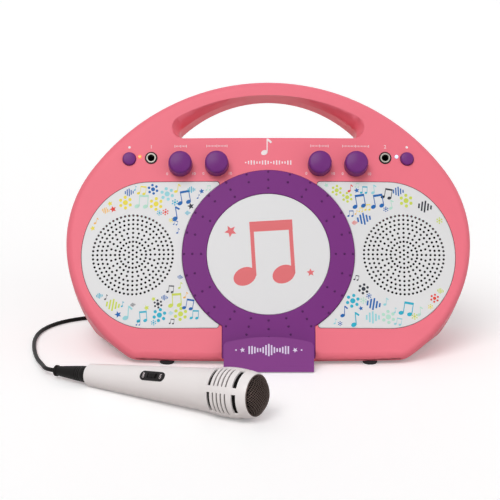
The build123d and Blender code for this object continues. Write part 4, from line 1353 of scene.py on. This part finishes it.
studio = {
    "floor": linear(251, 250, 250),
    "floorBounce": linear(196, 190, 188),
    "floorGlow": 0.22,
    "floorSize": 6.0,
    "skyLow": 0.1,
    "skyHigh": 0.5,
    "lamps": [
        {"name": "key", "from": (-0.32, -0.75, 0.95), "softness": 34.0, "strength": 1.42},
        {"name": "fill", "from": (0.7, -0.85, 0.22), "softness": 60.0, "strength": 0.62},
    ],
}


def seenDirectly(tree):
    # 1 for rays from the camera and those mirrored or passed on to it
    rays = addNode(tree, "LightPath")
    seen = rays.outputs["Is Camera Ray"]
    for kind in ("Is Glossy Ray", "Is Transmission Ray"):
        either = addNode(tree, "Math", operation="MAXIMUM")
        tree.links.new(seen, either.inputs[0])
        tree.links.new(rays.outputs[kind], either.inputs[1])
        seen = either.outputs[0]
    return seen


def makeSky(spec):
    # brighter overhead than at the horizon, and white where the camera looks at it
    world = bpy.data.worlds.new("sky")
    bpy.context.scene.world = world
    world.use_nodes = True
    tree = world.node_tree
    sky = tree.nodes["Background"]
    setInputs(sky, {"Color": (1, 1, 1, 1)})
    way = addNode(tree, "TexCoord")
    parts = addNode(tree, "SeparateXYZ")
    span = {"From Min": 0.0, "From Max": 0.9, "To Min": spec["skyLow"], "To Max": spec["skyHigh"]}
    height = addNode(tree, "MapRange", span)
    level = addNode(tree, "Mix", {"B": 1.0})
    link = tree.links.new
    link(way.outputs["Generated"], parts.inputs[0])
    link(parts.outputs["Z"], height.inputs["Value"])
    link(seenDirectly(tree), level.inputs["Factor"])
    link(height.outputs["Result"], level.inputs["A"])
    link(level.outputs["Result"], sky.inputs["Strength"])


def makeFloor(spec):
    bm = bmesh.new()
    ops.create_grid(bm, x_segments=1, y_segments=1, size=spec["floorSize"])
    mesh = bpy.data.meshes.new("floor")
    bm.to_mesh(mesh)
    bm.free()
    floor = newObject("floor", mesh)
    material = bpy.data.materials.new("paleFloor")
    material.use_nodes = True
    tree = material.node_tree
    shader = tree.nodes["Principled BSDF"]
    setInputs(shader, {"Roughness": 0.6, "Emission Color": (1, 1, 1, 1)})
    direct = seenDirectly(tree)
    tone = addNode(tree, "Mix", {"A": spec["floorBounce"], "B": spec["floor"]}, data_type="RGBA")
    glow = addNode(tree, "Math", {1: spec["floorGlow"]}, operation="MULTIPLY")
    link = tree.links.new
    link(direct, tone.inputs["Factor"])
    link(tone.outputs["Result"], shader.inputs["Base Color"])
    link(direct, glow.inputs[0])
    link(glow.outputs[0], shader.inputs["Emission Strength"])
    mesh.materials.append(material)


def makeLamp(spec):
    # broad soft light from one side
    light = bpy.data.lights.new(spec["name"], "SUN")
    light.angle = radians(spec["softness"])
    light.energy = spec["strength"]
    lamp = newObject(spec["name"], light)
    lamp.rotation_euler = Vector(spec["from"]).to_track_quat("Z", "Y").to_euler()


makeSky(studio)
makeFloor(studio)
for lamp in studio["lamps"]:
    makeLamp(lamp)
bpy.context.scene.view_settings.view_transform = "Standard"
print("stage lit")
